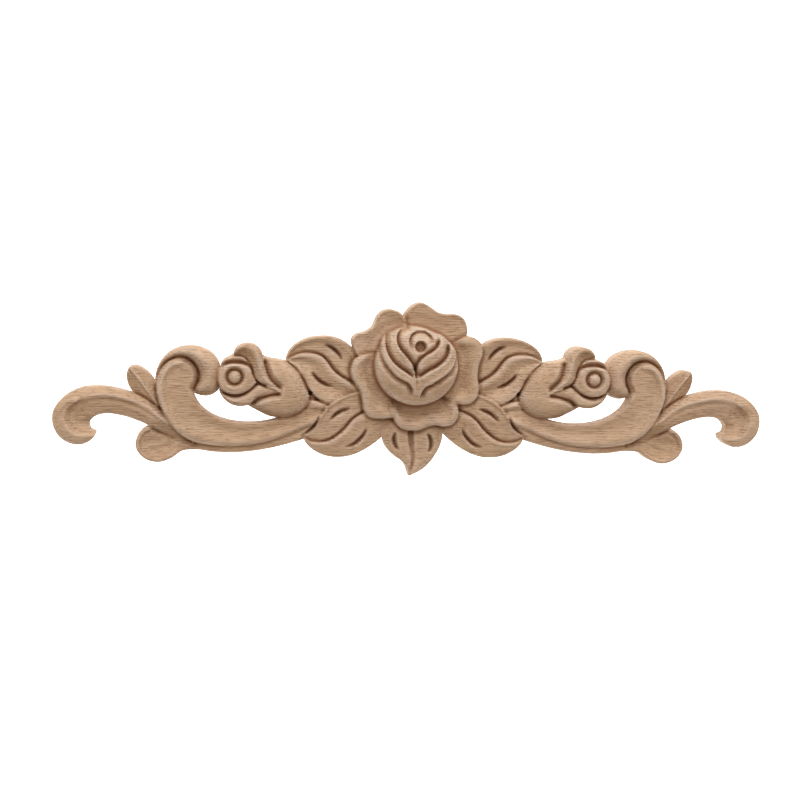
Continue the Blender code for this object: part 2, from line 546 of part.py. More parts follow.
def heart():
    """Closed heart of the rose: wrapped petals around a small round eye."""
    eye = (0.9, 18.6)
    inner_roll = smooth([(-1.4, 16.2), (-3.1, 18.1), (-3.8, 20.4), (-3.2, 23), (-1.4, 24.6), (1.2, 25.1),
                         (3.7, 24.5), (5.5, 22.9), (6.4, 20.6), (6.2, 18.4)])
    left_wrap = smooth([(-2.6, 27), (-5.3, 26.3), (-7.6, 24.9), (-8.7, 22.6), (-8.6, 20), (-7.4, 17.4),
                        (-5.6, 15.3), (-3.6, 12.9), (-2.1, 10.6), (-1.3, 8), (-1, 5.6)])
    right_wrap = smooth([(-0.9, 8.4), (-0.5, 10.8), (0.8, 13.2), (3.2, 15.2), (6.2, 17), (8.2, 18.9),
                         (9, 21.2), (8.4, 23.2)])
    left_middle = smooth([(-11.9, 24.9), (-13, 23), (-13.4, 20.2), (-12.8, 16.5), (-11, 13), (-7.8, 9.9),
                          (-4.8, 7.9), (-2.2, 5.9)])
    right_middle = smooth([(0.4, 5.9), (4.2, 8.5), (8.4, 10.8), (11.2, 13.1), (13, 16.2), (13.2, 18.8),
                           (12.4, 20.8)])
    left_outer = smooth([(-2.1, -1.4), (-2.6, 1.4), (-4, 3.4), (-6.4, 4.7), (-9.2, 6.3), (-11.4, 8.6),
                         (-13.2, 11), (-14.7, 13.7), (-15.5, 16.4), (-15.5, 19.2)])
    right_outer = smooth([(13.3, 21.2), (15.8, 19.2), (16.7, 16.2), (16.2, 12.6), (14, 8.8), (10.2, 5.8),
                          (6, 3.2), (3, 1.6), (1.8, 0), (1.2, -2)])

    def surface(p):
        out = np.hypot(*((p - HEART_MIDDLE) / HEART_RADII).T)
        ball = ROSE_FOOT + (ROSE_TOP - ROSE_FOOT) * np.sqrt(np.clip(1 - out ** 2.4, 0.0, 1.0))
        from_eye = np.hypot(p[:, 0] - eye[0], p[:, 1] - eye[1])
        return ball - section(from_eye, (0, EYE_DEPTH), (EYE_RADIUS, EYE_DEPTH), (EYE_RIM, 0))

    element(HEART_EDGE, surface,
            crests=[arc(eye, (r, r), 0, 340, FINE_ROW) for r in (EYE_RIM, EYE_RADIUS)],
            cuts=(tuck(inner_roll[::-1], 1.8, 2.2, (0.25, 0.25)), tuck(left_wrap, 2.3, 3.0, (0.06, 0.05)),
                  tuck(right_wrap, 2.3, 3.0, (0.05, 0.2)), tuck(left_middle, 2.3, 2.8),
                  tuck(right_middle, 2.8, 3.0), tuck(left_outer, 2.6, 1.9), tuck(right_outer, 2.6, 2.1)),
            wing=False)


def local(points, form):
    """Points as the drawing of a form sees them: wings are drawn on the left."""
    return np.stack([-np.abs(points[:, 0]), points[:, 1]], axis=1) if form["wing"] else points


def relief(points):
    """Carved height at each point; each form covers the ones before it."""
    height = np.zeros(len(points))
    for form in ELEMENTS:
        here = local(points, form)
        low, high = form["outline"].min(axis=0) - 0.01, form["outline"].max(axis=0) + 0.01
        near = np.flatnonzero(((here >= low) & (here <= high)).all(axis=1))
        if not len(near):
            continue
        ring = np.vstack([form["outline"], form["outline"][:1]])
        on_edge = np.abs(nearest(here[near], ring)[0]) < 0.02
        bare = height[near] == 0
        chosen = near[within(here[near], form["outline"]) | (on_edge & bare)]
        spot = here[chosen]
        if not len(spot):
            continue
        surface = form["surface"](spot)
        for cut in form["cuts"]:
            surface = surface - cut["loss"](spot)
        height[chosen] = surface
    return height


def both_sides(line, form):
    """A drawn line, and its mirror image where the form is in both wings."""
    return [line, line * (-1, 1)] if form["wing"] else [line]


def join_outlines():
    """Closed loops around the joined outlines of all forms."""
    corners, faces = [], []
    for form in ELEMENTS:
        for line in both_sides(form["outline"], form):
            if form["wing"] and line is not form["outline"]:
                line = line[::-1]
            faces.append(list(range(len(corners), len(corners) + len(line))))
            corners.extend(Vector(p) for p in line)
    points, _, triangles, _, _, origin = delaunay_2d_cdt(corners, [], faces, 0, 0.01)
    edges = {}
    for triangle, source in zip(triangles, origin):
        if source:
            for a, b in zip(triangle, triangle[1:] + triangle[:1]):
                edges[(a, b)] = True
    ahead = {a: b for a, b in edges if (b, a) not in edges}
    loops = []
    while ahead:
        start, spot = ahead.popitem()
        loop = [start]
        while spot != start:
            loop.append(spot)
            spot = ahead.pop(spot)
        loops.append(spaced(np.array([points[i] for i in loop])))
    return loops


def spaced(loop):
    """A closed loop without points that lie closer together than CLOSEST."""
    kept = [loop[0]]
    for point in loop[1:]:
        if np.hypot(*(point - kept[-1])) >= CLOSEST:
            kept.append(point)
    if np.hypot(*(kept[-1] - kept[0])) < CLOSEST:
        kept.pop()
    return np.array(kept)


def feature_rows(form, later):
    """Points along a form's walls, crests and cuts that later forms leave in sight."""
    ring = np.vstack([form["outline"], form["outline"][:2]])
    rows = [cut["rows"][0] for cut in form["cuts"]]
    rows += [offset(ring, side)[1:-1] for side in (STEP, -STEP)]
    rows += list(form["crests"])
    rows += [row for cut in form["cuts"] for row in cut["rows"][1:]]
    for row in rows:
        for line in both_sides(row, form):
            seen = np.ones(len(line), bool)
            for cover in later:
                seen &= ~within(local(line, cover), cover["outline"])
            yield line[seen]


def front_points(loops):
    """Points of the carved face: along every feature first, then an even fill."""
    kept = list(np.vstack(loops))
    cells = {}

    def cell(point):
        return int(point[0] // CLOSEST), int(point[1] // CLOSEST)

    def add(point, gap):
        reach = int(np.ceil(gap / CLOSEST))
        i, j = cell(point)
        for di in range(-reach, reach + 1):
            for dj in range(-reach, reach + 1):
                for other in cells.get((i + di, j + dj), ()):
                    if np.hypot(*(point - other)) < gap:
                        return
        cells.setdefault((i, j), []).append(point)
        kept.append(point)

    for point in kept:
        cells.setdefault(cell(point), []).append(point)
    for index, form in enumerate(ELEMENTS):
        for row in feature_rows(form, ELEMENTS[index + 1:]):
            for point in row[inside_loops(row, loops)]:
                add(point, CLOSEST)
    low, high = np.vstack(loops).min(axis=0), np.vstack(loops).max(axis=0)
    columns = np.arange(low[0], high[0], FILL)
    for number, z in enumerate(np.arange(low[1], high[1], FILL * np.sqrt(0.75))):
        line = np.stack([columns + 0.5 * FILL * (number % 2), np.full(len(columns), z)], axis=1)
        for point in line[inside_loops(line, loops)]:
            add(point, 0.62 * FILL)
    return np.array(kept)


def inside_loops(points, loops):
    """Which points lie on wood: inside the outer loop and outside the openings."""
    inside = np.zeros(len(points), bool)
    for loop in loops:
        inside ^= within(points, loop)
    return inside


def carved_mesh(name):
    """The whole solid: carved front, sawn sides and flat back."""
    loops = join_outlines()
    points = front_points(loops)
    edges, start = [], 0
    for loop in loops:
        count = len(loop)
        edges += [(start + i, start + (i + 1) % count) for i in range(count)]
        start += count
    plan, _, triangles, _, _, _ = delaunay_2d_cdt([Vector(p) for p in points], edges, [], 0, 0.001)
    plan = np.array(plan)
    middles = plan[np.array(triangles)].mean(axis=1)
    wood = inside_loops(middles, loops)
    scale = LENGTH / DRAWN_LENGTH * MM
    mesh = bmesh.new()
    corners = [mesh.verts.new((p[0] * scale, 0, p[1] * scale)) for p in plan]
    faces = [mesh.faces.new([corners[i] for i in t]) for t, keep in zip(triangles, wood) if keep]
    bmesh.ops.delete(mesh, geom=[v for v in corners if not v.link_faces], context="VERTS")
    raised = bmesh.ops.extrude_face_region(mesh, geom=faces, use_keep_orig=True)["geom"]
    front = [v for v in raised if isinstance(v, bmesh.types.BMVert)]
    heights = relief(np.array([(v.co.x / scale, v.co.z / scale) for v in front]))
    for corner, height in zip(front, heights):
        corner.co.y = -height * MM
    back_edges = [e for e in mesh.edges if all(abs(v.co.y) < 1e-9 for v in e.verts)]
    back_corners = {v for e in back_edges for v in e.verts}
    bmesh.ops.dissolve_limit(mesh, angle_limit=0.001, verts=list(back_corners), edges=back_edges)
    bmesh.ops.triangulate(mesh, faces=[f for f in mesh.faces if len(f.verts) > 3])
    bmesh.ops.recalc_face_normals(mesh, faces=mesh.faces)
    data = bpy.data.meshes.new(name)
    mesh.to_mesh(data)
    mesh.free()
    return data


def rubberwood():
    """Bare sanded rubberwood."""
    material = bpy.data.materials.new("bare_rubberwood")
    material.use_nodes = True
    shader = material.node_tree.nodes["Principled BSDF"]
    shader.inputs["Base Color"].default_value = (0.46, 0.30, 0.18, 1)
    shader.inputs["Roughness"].default_value = 0.6
    shader.inputs["Metallic"].default_value = 0.0
    return material


def build():
    for old in list(bpy.data.objects):
        bpy.data.objects.remove(old, do_unlink=True)
    for draw in (web, small_leaf, lobe, tail, scroll, roll, bud, upper_leaf, lower_leaf, pendant_leaf,
                 open_petals, heart):
        draw()
    group = bpy.data.collections.new("rose_applique")
    bpy.context.scene.collection.children.link(group)
    data = carved_mesh("carved_applique")
    data.materials.append(rubberwood())
    data.shade_smooth()
    data.set_sharp_from_angle(angle=CREASE)
    group.objects.link(bpy.data.objects.new("carved_applique", data))


build()
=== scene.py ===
"""A carved rubberwood applique in a pale studio: a rose between leaves, buds and C-scrolls."""
import math

import bmesh
import bpy
import numpy as np
from mathutils import Matrix, Vector
from mathutils.geometry import delaunay_2d_cdt
from mathutils.kdtree import KDTree


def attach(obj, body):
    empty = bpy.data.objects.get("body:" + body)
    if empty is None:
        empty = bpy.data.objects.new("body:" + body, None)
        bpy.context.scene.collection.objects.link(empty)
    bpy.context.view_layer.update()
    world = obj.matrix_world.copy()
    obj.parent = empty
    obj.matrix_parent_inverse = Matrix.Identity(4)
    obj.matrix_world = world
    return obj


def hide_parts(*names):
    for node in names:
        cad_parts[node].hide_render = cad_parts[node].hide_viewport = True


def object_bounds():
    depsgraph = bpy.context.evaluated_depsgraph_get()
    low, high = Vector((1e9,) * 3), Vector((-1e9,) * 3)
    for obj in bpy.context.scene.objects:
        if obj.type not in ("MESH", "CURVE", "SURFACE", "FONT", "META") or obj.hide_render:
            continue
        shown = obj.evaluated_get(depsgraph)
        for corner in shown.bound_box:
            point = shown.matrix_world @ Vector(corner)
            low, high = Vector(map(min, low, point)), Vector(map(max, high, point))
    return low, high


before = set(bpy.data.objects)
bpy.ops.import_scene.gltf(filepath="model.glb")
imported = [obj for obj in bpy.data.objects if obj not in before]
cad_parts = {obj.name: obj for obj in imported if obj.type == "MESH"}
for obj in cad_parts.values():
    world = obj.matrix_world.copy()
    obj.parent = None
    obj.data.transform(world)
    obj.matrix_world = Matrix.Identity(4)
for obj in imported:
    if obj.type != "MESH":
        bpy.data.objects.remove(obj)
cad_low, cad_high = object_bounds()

# The board. The real piece starts as one flat board of rubberwood, planed on its back and
# sawn along the outline of the carving. The cutter goes over it in fine steps, which the grid
# of heights below stands for: millimetres above the flat back, for the left half of the board.
DRAWN_LENGTH = 301.3      # over both tail curls, as the outlines are drawn
MM = (cad_high.x - cad_low.x) / DRAWN_LENGTH
CUTTER_STEP = 0.16
SPARE = 1.2               # board past the carving
BOARD_HALF_LENGTH = DRAWN_LENGTH / 2 + SPARE
BOARD_LOW = cad_low.z / MM - SPARE
BOARD_HIGH = cad_high.z / MM + SPARE
DEEPEST_CUT = 4.2         # a cut along an edge goes no lower than this
CURVE_STEP = 0.5          # spacing of the points along a curve
WEB_THICKNESS = 6.3       # lower wood that joins bud, stem and leaf

columns = -(np.arange(int(BOARD_HALF_LENGTH / CUTTER_STEP), 0, -1) - 0.5) * CUTTER_STEP
rows = np.arange(BOARD_LOW, BOARD_HIGH, CUTTER_STEP)
board = np.zeros((len(rows), len(columns)))
forms = []


def smooth(points):
    """A smooth curve through the points."""
    p = np.array(points, float)
    gap = np.linalg.norm(np.diff(p, axis=0), axis=1)
    knot = np.concatenate([[0.0], np.cumsum(gap)])
    slope = np.gradient(p, knot, axis=0, edge_order=2 if len(p) > 2 else 1)
    place = np.linspace(0.0, knot[-1], max(int(round(knot[-1] / CURVE_STEP)), 2) + 1)
    i = np.clip(np.searchsorted(knot, place, side="right") - 1, 0, len(gap) - 1)
    h = gap[i][:, None]
    u = (place - knot[i])[:, None] / h
    start = (1 + 2 * u) * (1 - u) ** 2 * p[i] + u * (1 - u) ** 2 * h * slope[i]
    end = u * u * (3 - 2 * u) * p[i + 1] + u * u * (u - 1) * h * slope[i + 1]
    return start + end


def nearest(points, line):
    """Signed distance to an open line (left of it positive) and how far along it, 0 to 1."""
    best = np.full(len(points), np.inf)
    side = np.ones(len(points))
    along = np.zeros(len(points))
    step = np.linalg.norm(np.diff(line, axis=0), axis=1)
    done = 0.0
    for a, b, length in zip(line[:-1], line[1:], step):
        way = (b - a) / length
        rel_x, rel_z = points[:, 0] - a[0], points[:, 1] - a[1]
        run = np.clip(rel_x * way[0] + rel_z * way[1], 0.0, length)
        off_x, off_z = rel_x - run * way[0], rel_z - run * way[1]
        dist = off_x * off_x + off_z * off_z
        closer = np.flatnonzero(dist < best - 1e-9)
        best[closer] = dist[closer]
        side[closer] = way[0] * rel_z[closer] - way[1] * rel_x[closer]
        along[closer] = done + run[closer]
        done += length
    return np.sqrt(best) * np.where(side < 0, -1.0, 1.0), along / done


def away(points, line):
    """Plain distance to an open line."""
    return np.abs(nearest(points, line)[0])


def within(points, outline):
    """Which points lie inside a closed outline."""
    inside = np.zeros(len(points), bool)
    x, z = points[:, 0], points[:, 1]
    for a, b in zip(outline, np.roll(outline, -1, axis=0)):
        crosses = np.flatnonzero((a[1] > z) != (b[1] > z))
        if len(crosses):
            reach = a[0] + (z[crosses] - a[1]) * (b[0] - a[0]) / (b[1] - a[1])
            inside[crosses] ^= x[crosses] < reach
    return inside


def ease(t):
    """A smooth step from 0 to 1."""
    t = np.clip(t, 0.0, 1.0)
    return t * t * (3 - 2 * t)


def blurred(values, mask, reach):
    """Values averaged over a reach in millimetres, only with neighbours inside the mask."""
    sigma = reach / CUTTER_STEP
    taps = np.arange(-int(3 * sigma) - 1, int(3 * sigma) + 2)
    weight = np.exp(-0.5 * (taps / sigma) ** 2)
    share = mask.astype(float)
    total = np.where(mask, values, 0.0)
    for axis in (0, 1):
        for_both = []
        for field in (total, share):
            pad = np.pad(field, [(len(taps), len(taps)) if a == axis else (0, 0) for a in (0, 1)])
            out = np.zeros_like(field)
            for tap, w in zip(taps, weight):
                first = len(taps) + tap
                last = first + field.shape[axis]
                out += w * (pad[first:last] if axis == 0 else pad[:, first:last])
            for_both.append(out)
        total, share = for_both
    return np.where(mask, total / np.maximum(share, 1e-9), values)


def carve(outline, shape, cuts=(), wall=0.4, soften=0.3, crests=(), wing=True, sunk=0.6, spread=1.5):
    """Lays a carved form over the board.

    What lies under it is first cut down along its edge: by sunk, within spread of the edge. The
    form's own edge rises over the width of its wall, and its surface is sanded soft.
    """
    outline = np.array(outline, float)
    outline = outline[np.linalg.norm(np.roll(outline, -1, axis=0) - outline, axis=1) > 0.01]
    ahead = np.roll(outline, -1, axis=0)
    if (outline[:, 0] * ahead[:, 1] - outline[:, 1] * ahead[:, 0]).sum() < 0:
        outline = outline[::-1]
    edge = np.vstack([outline, outline[:1]])
    (x0, z0), (x1, z1) = outline.min(axis=0) - spread, outline.max(axis=0) + spread
    j = slice(*np.searchsorted(rows, (z0, z1)))
    i = slice(*np.searchsorted(columns, (x0, x1)))
    xx, zz = np.meshgrid(columns[i], rows[j])
    inside = within(np.stack([xx.ravel(), zz.ravel()], axis=1), outline).reshape(xx.shape)
    beside = ~inside & (board[j, i] > DEEPEST_CUT)
    around = away(np.stack([xx[beside], zz[beside]], axis=1), edge)
    cut_down = board[j, i][beside] - sunk * (1 - ease(around / spread))
    board[j, i][beside] = np.maximum(cut_down, DEEPEST_CUT)
    spot = np.stack([xx[inside], zz[inside]], axis=1)
    depth = away(spot, edge)
    top = np.zeros(xx.shape)
    top[inside] = shape(spot, depth)
    if soften:
        top = blurred(top, inside, soften)
    top = top[inside]
    for cut in cuts:
        top = top - cut["loss"](spot)
    under = board[j, i][inside]
    share = np.where(under > 0, ease(depth / wall), 1.0)
    board[j, i][inside] = under + (top - under) * share
    forms.append({"outline": outline, "wall": wall, "wing": wing,
                  "lines": list(crests) + [line for cut in cuts for line in cut["rows"]]})


def flat(height):
    """Surface of one height."""
    return lambda spots, depth: np.full(len(spots), height)


web_outline = smooth([(-50, 6), (-44, 5), (-37, -1), (-32, -8), (-40, -12), (-52, -11), (-52, 0)])
carve(web_outline, flat(WEB_THICKNESS))

# The small leaf behind each C-scroll. It is carved from the same board, low and folded along
# a rib that catches the light, with a shallow scoop on both sides of the rib.


def strip(edge_a, edge_b):
    """Closed outline of a strip between two edges."""
    return np.concatenate([edge_a, edge_b[::-1]])


def across(points, edge_a, edge_b):
    """Place across a strip, 0 at edge a to 1 at edge b."""
    a, b = away(points, edge_a), away(points, edge_b)
    return a / np.maximum(a + b, 1e-6)


def section(place, knots):
    """A carved cross-section: heights at places across a form, eased between them."""
    where, value = np.array(knots, float).T
    i = np.clip(np.searchsorted(where, place, side="right") - 1, 0, len(where) - 2)
    return value[i] + (value[i + 1] - value[i]) * ease((place - where[i]) / (where[i + 1] - where[i]))


def change(value, start, end):
    """A smooth step from 0 at the start to 1 at the end, whichever of them is larger."""
    return ease((value - start) / (end - start))


FOLD_LEFT = ((0, 8.2), (1.0, 7.0), (5, 4.9))    # distance from the rib, and height there
FOLD_RIGHT = ((0, 8.2), (1.4, 6.9), (5, 6.5))
SMALL_LEAF_DROP = 1.2                           # how much lower the leaf gets towards the C-scroll
SMALL_LEAF_DIPS = (-117, -108)
small_top = smooth([(-119.2, 8.7), (-116.4, 9.3), (-113, 7.8), (-110, 5), (-107.8, 1), (-105, -9)])
small_foot = smooth([(-119.2, 8.7), (-120.3, 5.8), (-119.9, 2), (-117.9, -1.8), (-114, -6), (-107, -12)])
small_rib = smooth([(-118.8, 8), (-116, 4.7), (-112.8, 0.3), (-109.8, -4), (-107.5, -7.5)])


def small_leaf(spots, depth):
    side = nearest(spots, small_rib)[0]
    folded = np.where(side < 0, section(-side, FOLD_LEFT), section(side, FOLD_RIGHT))
    return folded - SMALL_LEAF_DROP * change(spots[:, 0], *SMALL_LEAF_DIPS)


carve(strip(small_top, small_foot), small_leaf, soften=0.12, crests=(small_rib,))

# The spoon-shaped lobe under the tail. Its bowl is hollowed with a flat gouge and its rim is
# left standing, and it runs on to the right as a thin band below the C-scroll.
BOWL = ((0, 7.2), (0.4, 7.5), (1.2, 7.6), (2.4, 6.2), (6, 5.2), (13, 4.6))  # distance from the rim, height
BAND = ((0, 6.8), (0.6, 7.5), (3, 7.4), (13, 6.4))
BAND_DROP = 0.9           # how much lower the band gets towards the lobe
BAND_DIPS = (-76, -86)
SPOON_OPENS = (-98, -103)
FLUTE_DEPTH = 0.18        # the gouge's faint flutes, which fan out from the lobe's root
FLUTES_PER_TURN = 26
FLUTE_ROOT = (-92, -20)
FLUTES_FADE_IN = (-97, -105)
FLUTE_MARGIN = (1.5, 3.5)
NOTCH_WIDTH, NOTCH_DEPTH = 1.8, 3.0


def offset(line, distance):
    """A line moved to its left by a distance."""
    way = np.gradient(line, axis=0)
    way /= np.maximum(np.linalg.norm(way, axis=1), 1e-6)[:, None]
    return line + distance * np.stack([-way[:, 1], way[:, 0]], axis=1)


def groove(line, width, depth):
    """A V-cut that runs out to nothing at both ends of its line."""
    def loss(points):
        dist, along = nearest(points, line)
        swell = np.sqrt(np.clip(4 * along * (1 - along), 1e-6, 1.0))
        return depth * swell * np.clip(1 - 2 * np.abs(dist) / (width * swell), 0.0, 1.0)

    return {"loss": loss, "rows": (line, offset(line, 0.5 * width), offset(line, -0.5 * width))}


lobe_rim = smooth([
    (-38, -18), (-53, -23), (-61, -25), (-72, -26.6), (-84, -26.7), (-92, -25.8), (-97, -26.3),
    (-101.5, -29.2), (-107.5, -31), (-113.5, -29), (-116.5, -24.5), (-115.5, -19.5), (-111.5, -16)])
lobe_back = smooth([
    (-38, -12), (-60, -19), (-75, -21), (-90, -19), (-100, -15), (-107, -13), (-111.5, -16)])
leaf_notch = smooth([(-40.4, -10.9), (-41.2, -13.4), (-42.5, -15.5), (-44.3, -17.3), (-47.2, -19.1)])


def lobe(spots, depth):
    inward = away(spots, lobe_rim)
    fan = np.arctan2(spots[:, 1] - FLUTE_ROOT[1], spots[:, 0] - FLUTE_ROOT[0])
    fluted = change(spots[:, 0], *FLUTES_FADE_IN) * change(inward, *FLUTE_MARGIN)
    flutes = FLUTE_DEPTH * np.cos(FLUTES_PER_TURN * fan) * fluted
    band = section(inward, BAND) - BAND_DROP * change(spots[:, 0], *BAND_DIPS)
    return band + (section(inward, BOWL) - band) * change(spots[:, 0], *SPOON_OPENS) + flutes


carve(strip(lobe_rim, lobe_back), lobe, cuts=(groove(leaf_notch, NOTCH_WIDTH, NOTCH_DEPTH),), soften=0.2)

# The outer tail. A rounded rod runs along its upper side over a flat channel, and both curl
# down into a hook, where the carver scooped a bowl that leaves a crisp ridge.
ROD = ((0, 6.4), (0.32, 9.3), (0.5, 8.4), (0.8, 7.4), (1, 6.4))     # place across the tail, and height
HOOK_OUTSIDE = ((-1.6, 9.5), (1.5, 8.7), (6.0, 6.4))                # distance from the ridge, and height
HOOK_BOWL = ((-1.6, 9.8), (2.6, 6.0), (4.4, 5.5), (10, 7.6))
HOOK_STARTS = (0.46, 0.68)     # share of the rim over which the rod turns into the hook
RIDGE_LOSS = 1.3               # how much lower the hook's ridge starts, beside the rod
RIDGE_GROWS = (0, 0.5)
RIDGE_WIDTH = (0, 3.5)
TAIL_SINKS = 2.2               # how far the root of the tail dips under the C-scroll
TAIL_ROOT = (-0.01, 0.12)


def tuck(line, reach, depth, lip=0.0, wall=0.4, ends=(0.12, 0.12), lip_reach=1.0):
    """A cut with a wall and a raised lip right of its line, and a ramp left of it."""
    def loss(points):
        dist, along = nearest(points, line)
        swell = ease(along / ends[0]) * ease((1 - along) / ends[1])
        ramp = 1 - ease(dist / reach)
        foot = 1 - ease(-dist / wall)
        raised = lip * ease(-dist / wall) * np.exp(-np.clip(-dist - wall, 0, None) / lip_reach)
        return swell * np.where(dist > 0, depth * ramp, depth * foot - raised)

    return {"loss": loss, "rows": (line, offset(line, -0.5 * wall), offset(line, -wall),
                                   offset(line, 0.3), offset(line, 0.4 * reach), offset(line, 0.8 * reach))}


tail_rim = smooth([
    (-97, -17), (-106.5, -9), (-114.8, -3.4), (-123, -0.6), (-132.2, 0.7), (-140, -0.5), (-146.7, -4.6),
    (-150.4, -10.5), (-150.4, -15.5), (-147.7, -20.6), (-143, -23.4), (-138.8, -23.7), (-135.2, -22.2)])
tail_throat = smooth([
    (-92, -23.5), (-104.4, -19.1), (-114.7, -14.1), (-122.9, -11.5), (-129, -10.9), (-133.2, -12.1),
    (-135.4, -14.9), (-135, -17), (-133, -18)])
tail_inner = np.concatenate([tail_throat, [(-132.6, -18.8), (-133.4, -20.6)]])
tail_scoop = smooth([
    (-142.6, -7.6), (-144.8, -10), (-145.3, -12.8), (-144.5, -15.6), (-142.8, -18), (-140, -19.5),
    (-136.6, -19.6), (-133.6, -19.4)])
rod_foot = smooth([
    (-104, -13.2), (-109.1, -10.4), (-112.6, -8.4), (-116, -6.8), (-122.8, -5), (-129.6, -4.1),
    (-136.4, -4.6), (-139.8, -5.6)])


def tail(spots, depth):
    along = nearest(spots, tail_rim)[1]
    rod = section(across(spots, tail_rim, tail_inner), ROD)
    inward, around = nearest(spots, tail_scoop)
    hook = np.where(inward < 0, section(-inward, HOOK_OUTSIDE), section(inward, HOOK_BOWL))
    soft_ridge = (1 - change(around, *RIDGE_GROWS)) * (1 - change(np.abs(inward), *RIDGE_WIDTH))
    hook = hook - RIDGE_LOSS * soft_ridge
    sinking = TAIL_SINKS * (1 - change(along, *TAIL_ROOT))
    return rod + change(along, *HOOK_STARTS) * (hook - rod) - sinking


carve(strip(tail_rim, tail_inner), tail, soften=0.2, sunk=1.5,
      cuts=(tuck(rod_foot, reach=3.2, depth=0.8, wall=1.3, ends=(0.2, 0.4)),),
      crests=(tail_scoop, offset(tail_scoop, 0.5)))

# The C-scroll. A broad, slightly hollowed band sweeps along the bottom and turns up into a
# tongue, which dips under the rolled end. Its outer edge has a narrow bevel.
SWEPT_BAND = ((0, 8.2), (0.17, 9.4), (0.6, 8.1), (1, 8.6))          # place across the band, and height
TONGUE = ((0, 8.4), (0.9, 9.5), (1.9, 9.6), (5, 8.4), (14, 9.0))    # distance from the outer edge, height
SCROLL_DROP = 0.8              # how much lower the band gets where it dips under the leaf
SCROLL_DIPS = (-62, -46)
TURNS_UP = (-90, -102)
BEVEL = 1.9
curl = smooth([
    (-108.1, -1), (-107.4, 4), (-105.3, 8.7), (-102.4, 11.3), (-99, 12.5), (-95.5, 11.9), (-92.6, 9.4),
    (-91.2, 6), (-91.6, 3), (-92.8, 0.8), (-93.2, -1)])
scroll_back = smooth([
    (-36, -12), (-48, -17.2), (-54.5, -19.7), (-62, -22.2), (-70, -23.7), (-78, -24.2), (-86.6, -23.6),
    (-94, -21.9), (-101, -16.8), (-105.8, -9.2), (-108.2, -0.5), (-107.6, 6), (-104, 11.2), (-99.5, 13)])
scroll_throat = smooth([
    (-36, -7.6), (-41, -7.4), (-47.5, -7.8), (-54, -10.9), (-60, -13), (-70, -14.2), (-79.7, -12.9),
    (-85.5, -10.5), (-90.5, -6.1), (-92.7, -1), (-91, 5), (-93, 10.5), (-99.5, 13)])


def scroll(spots, depth):
    swept = section(across(spots, scroll_back, scroll_throat), SWEPT_BAND)
    swept = swept - SCROLL_DROP * change(spots[:, 0], *SCROLL_DIPS)
    tongue = section(away(spots, scroll_back), TONGUE)
    return swept + (tongue - swept) * change(spots[:, 0], *TURNS_UP)


carve(strip(scroll_back, scroll_throat), scroll,
      cuts=(tuck(curl[::-1], reach=2.0, depth=1.5, ends=(0.02, 0.2)),
            groove(leaf_notch, NOTCH_WIDTH, NOTCH_DEPTH)),
      crests=(offset(scroll_back, -BEVEL),), sunk=0.4, spread=1.0)

# The rolled end of the C-scroll: a fat, smoothly sanded roll that starts thin on the outside,
# wraps over the tongue and ends in a ball beside the bud.
ROLL_FOOT, ROLL_RISE = 5.0, 7.4
ROLL_ROUNDING = 6.5            # from its outer edge up to its crown
ROLL_GAP = 0.9                 # cut between the roll and the tongue
ROLL_SLOPE = 4.5               # from that cut up to its crown


def pillow(depth, radius):
    """Share of full height at some depth inside an edge that is rounded over a radius."""
    return np.sqrt(np.clip(1 - (1 - np.clip(depth / radius, 0, 1)) ** 2, 0, 1))


roll_outer = smooth([
    (-108.1, -1), (-108.6, 4), (-107.5, 9), (-104.4, 13.7), (-99.5, 16.8), (-94.5, 17.8), (-89, 16.9),
    (-84, 13.8), (-81.7, 9.5), (-81.4, 4), (-82.6, -0.8), (-85.8, -2.9), (-89.6, -3), (-92.2, -2.1),
    (-93.2, -1)])


def roll(spots, depth):
    risen = pillow(away(spots, curl) - ROLL_GAP, ROLL_SLOPE)
    return ROLL_FOOT + ROLL_RISE * pillow(away(spots, roll_outer), ROLL_ROUNDING) * risen


carve(strip(roll_outer, curl), roll, wall=0.3, soften=0.15,
      crests=(offset(curl, ROLL_GAP), offset(curl, ROLL_GAP + 0.3)))

# The side bud on its short stem: an egg-shaped body, a small crescent petal, a hood that bends
# over the top, a lip below, and a ring with a round dot cut with a hollow tool.
SEAT_HEIGHT = 8.4
CRESCENT_FOOT, CRESCENT_RISE, CRESCENT_ROUNDING = 10.0, 1.0, 1.6
HOOD_CUPPED = ((0, 11.2), (0.2, 11.6), (0.8, 9.4), (1, 9.2))        # place across the hood, and height
HOOD_BENT = ((0, 11.0), (0.35, 12.8), (1, 11.6))
HOOD_BENDS = (-72, -66)
HOOD_DROP = 1.2                # how much lower the hood gets towards its tip
HOOD_TIP = (-63, -57)
DOT_RADIUS = 2.5
DOT_TOP, DOT_CROWN = 12.9, 1.0
RING = ((DOT_RADIUS, 10.2), (3.2, 9.9), (4.4, 12.3), (9, 11.4))     # distance from the dot's middle, height


def arc(centre, radii, start, end, spacing=CURVE_STEP):
    """Points on an ellipse between two angles in degrees."""
    turn = math.radians(end - start)
    count = max(int(abs(turn) * max(radii) / spacing), 4) + 1
    angle = math.radians(start) + np.linspace(0.0, turn, count)
    return np.stack([centre[0] + radii[0] * np.cos(angle), centre[1] + radii[1] * np.sin(angle)], axis=1)


def padded(foot, rise, radius):
    """Surface that rises from its foot over a rounded edge."""
    return lambda spots, depth: foot + rise * pillow(depth, radius)


stem_top = smooth([(-49, -3.9), (-45, -4.3), (-40, -5), (-33, -6)])
stem_foot = smooth([(-49, -7.7), (-44, -8.1), (-39, -8.5), (-33, -8.9)])
carve(strip(stem_top, stem_foot), padded(foot=7.0, rise=1.1, radius=2.2), wall=0.3, sunk=1.8, spread=0.9)

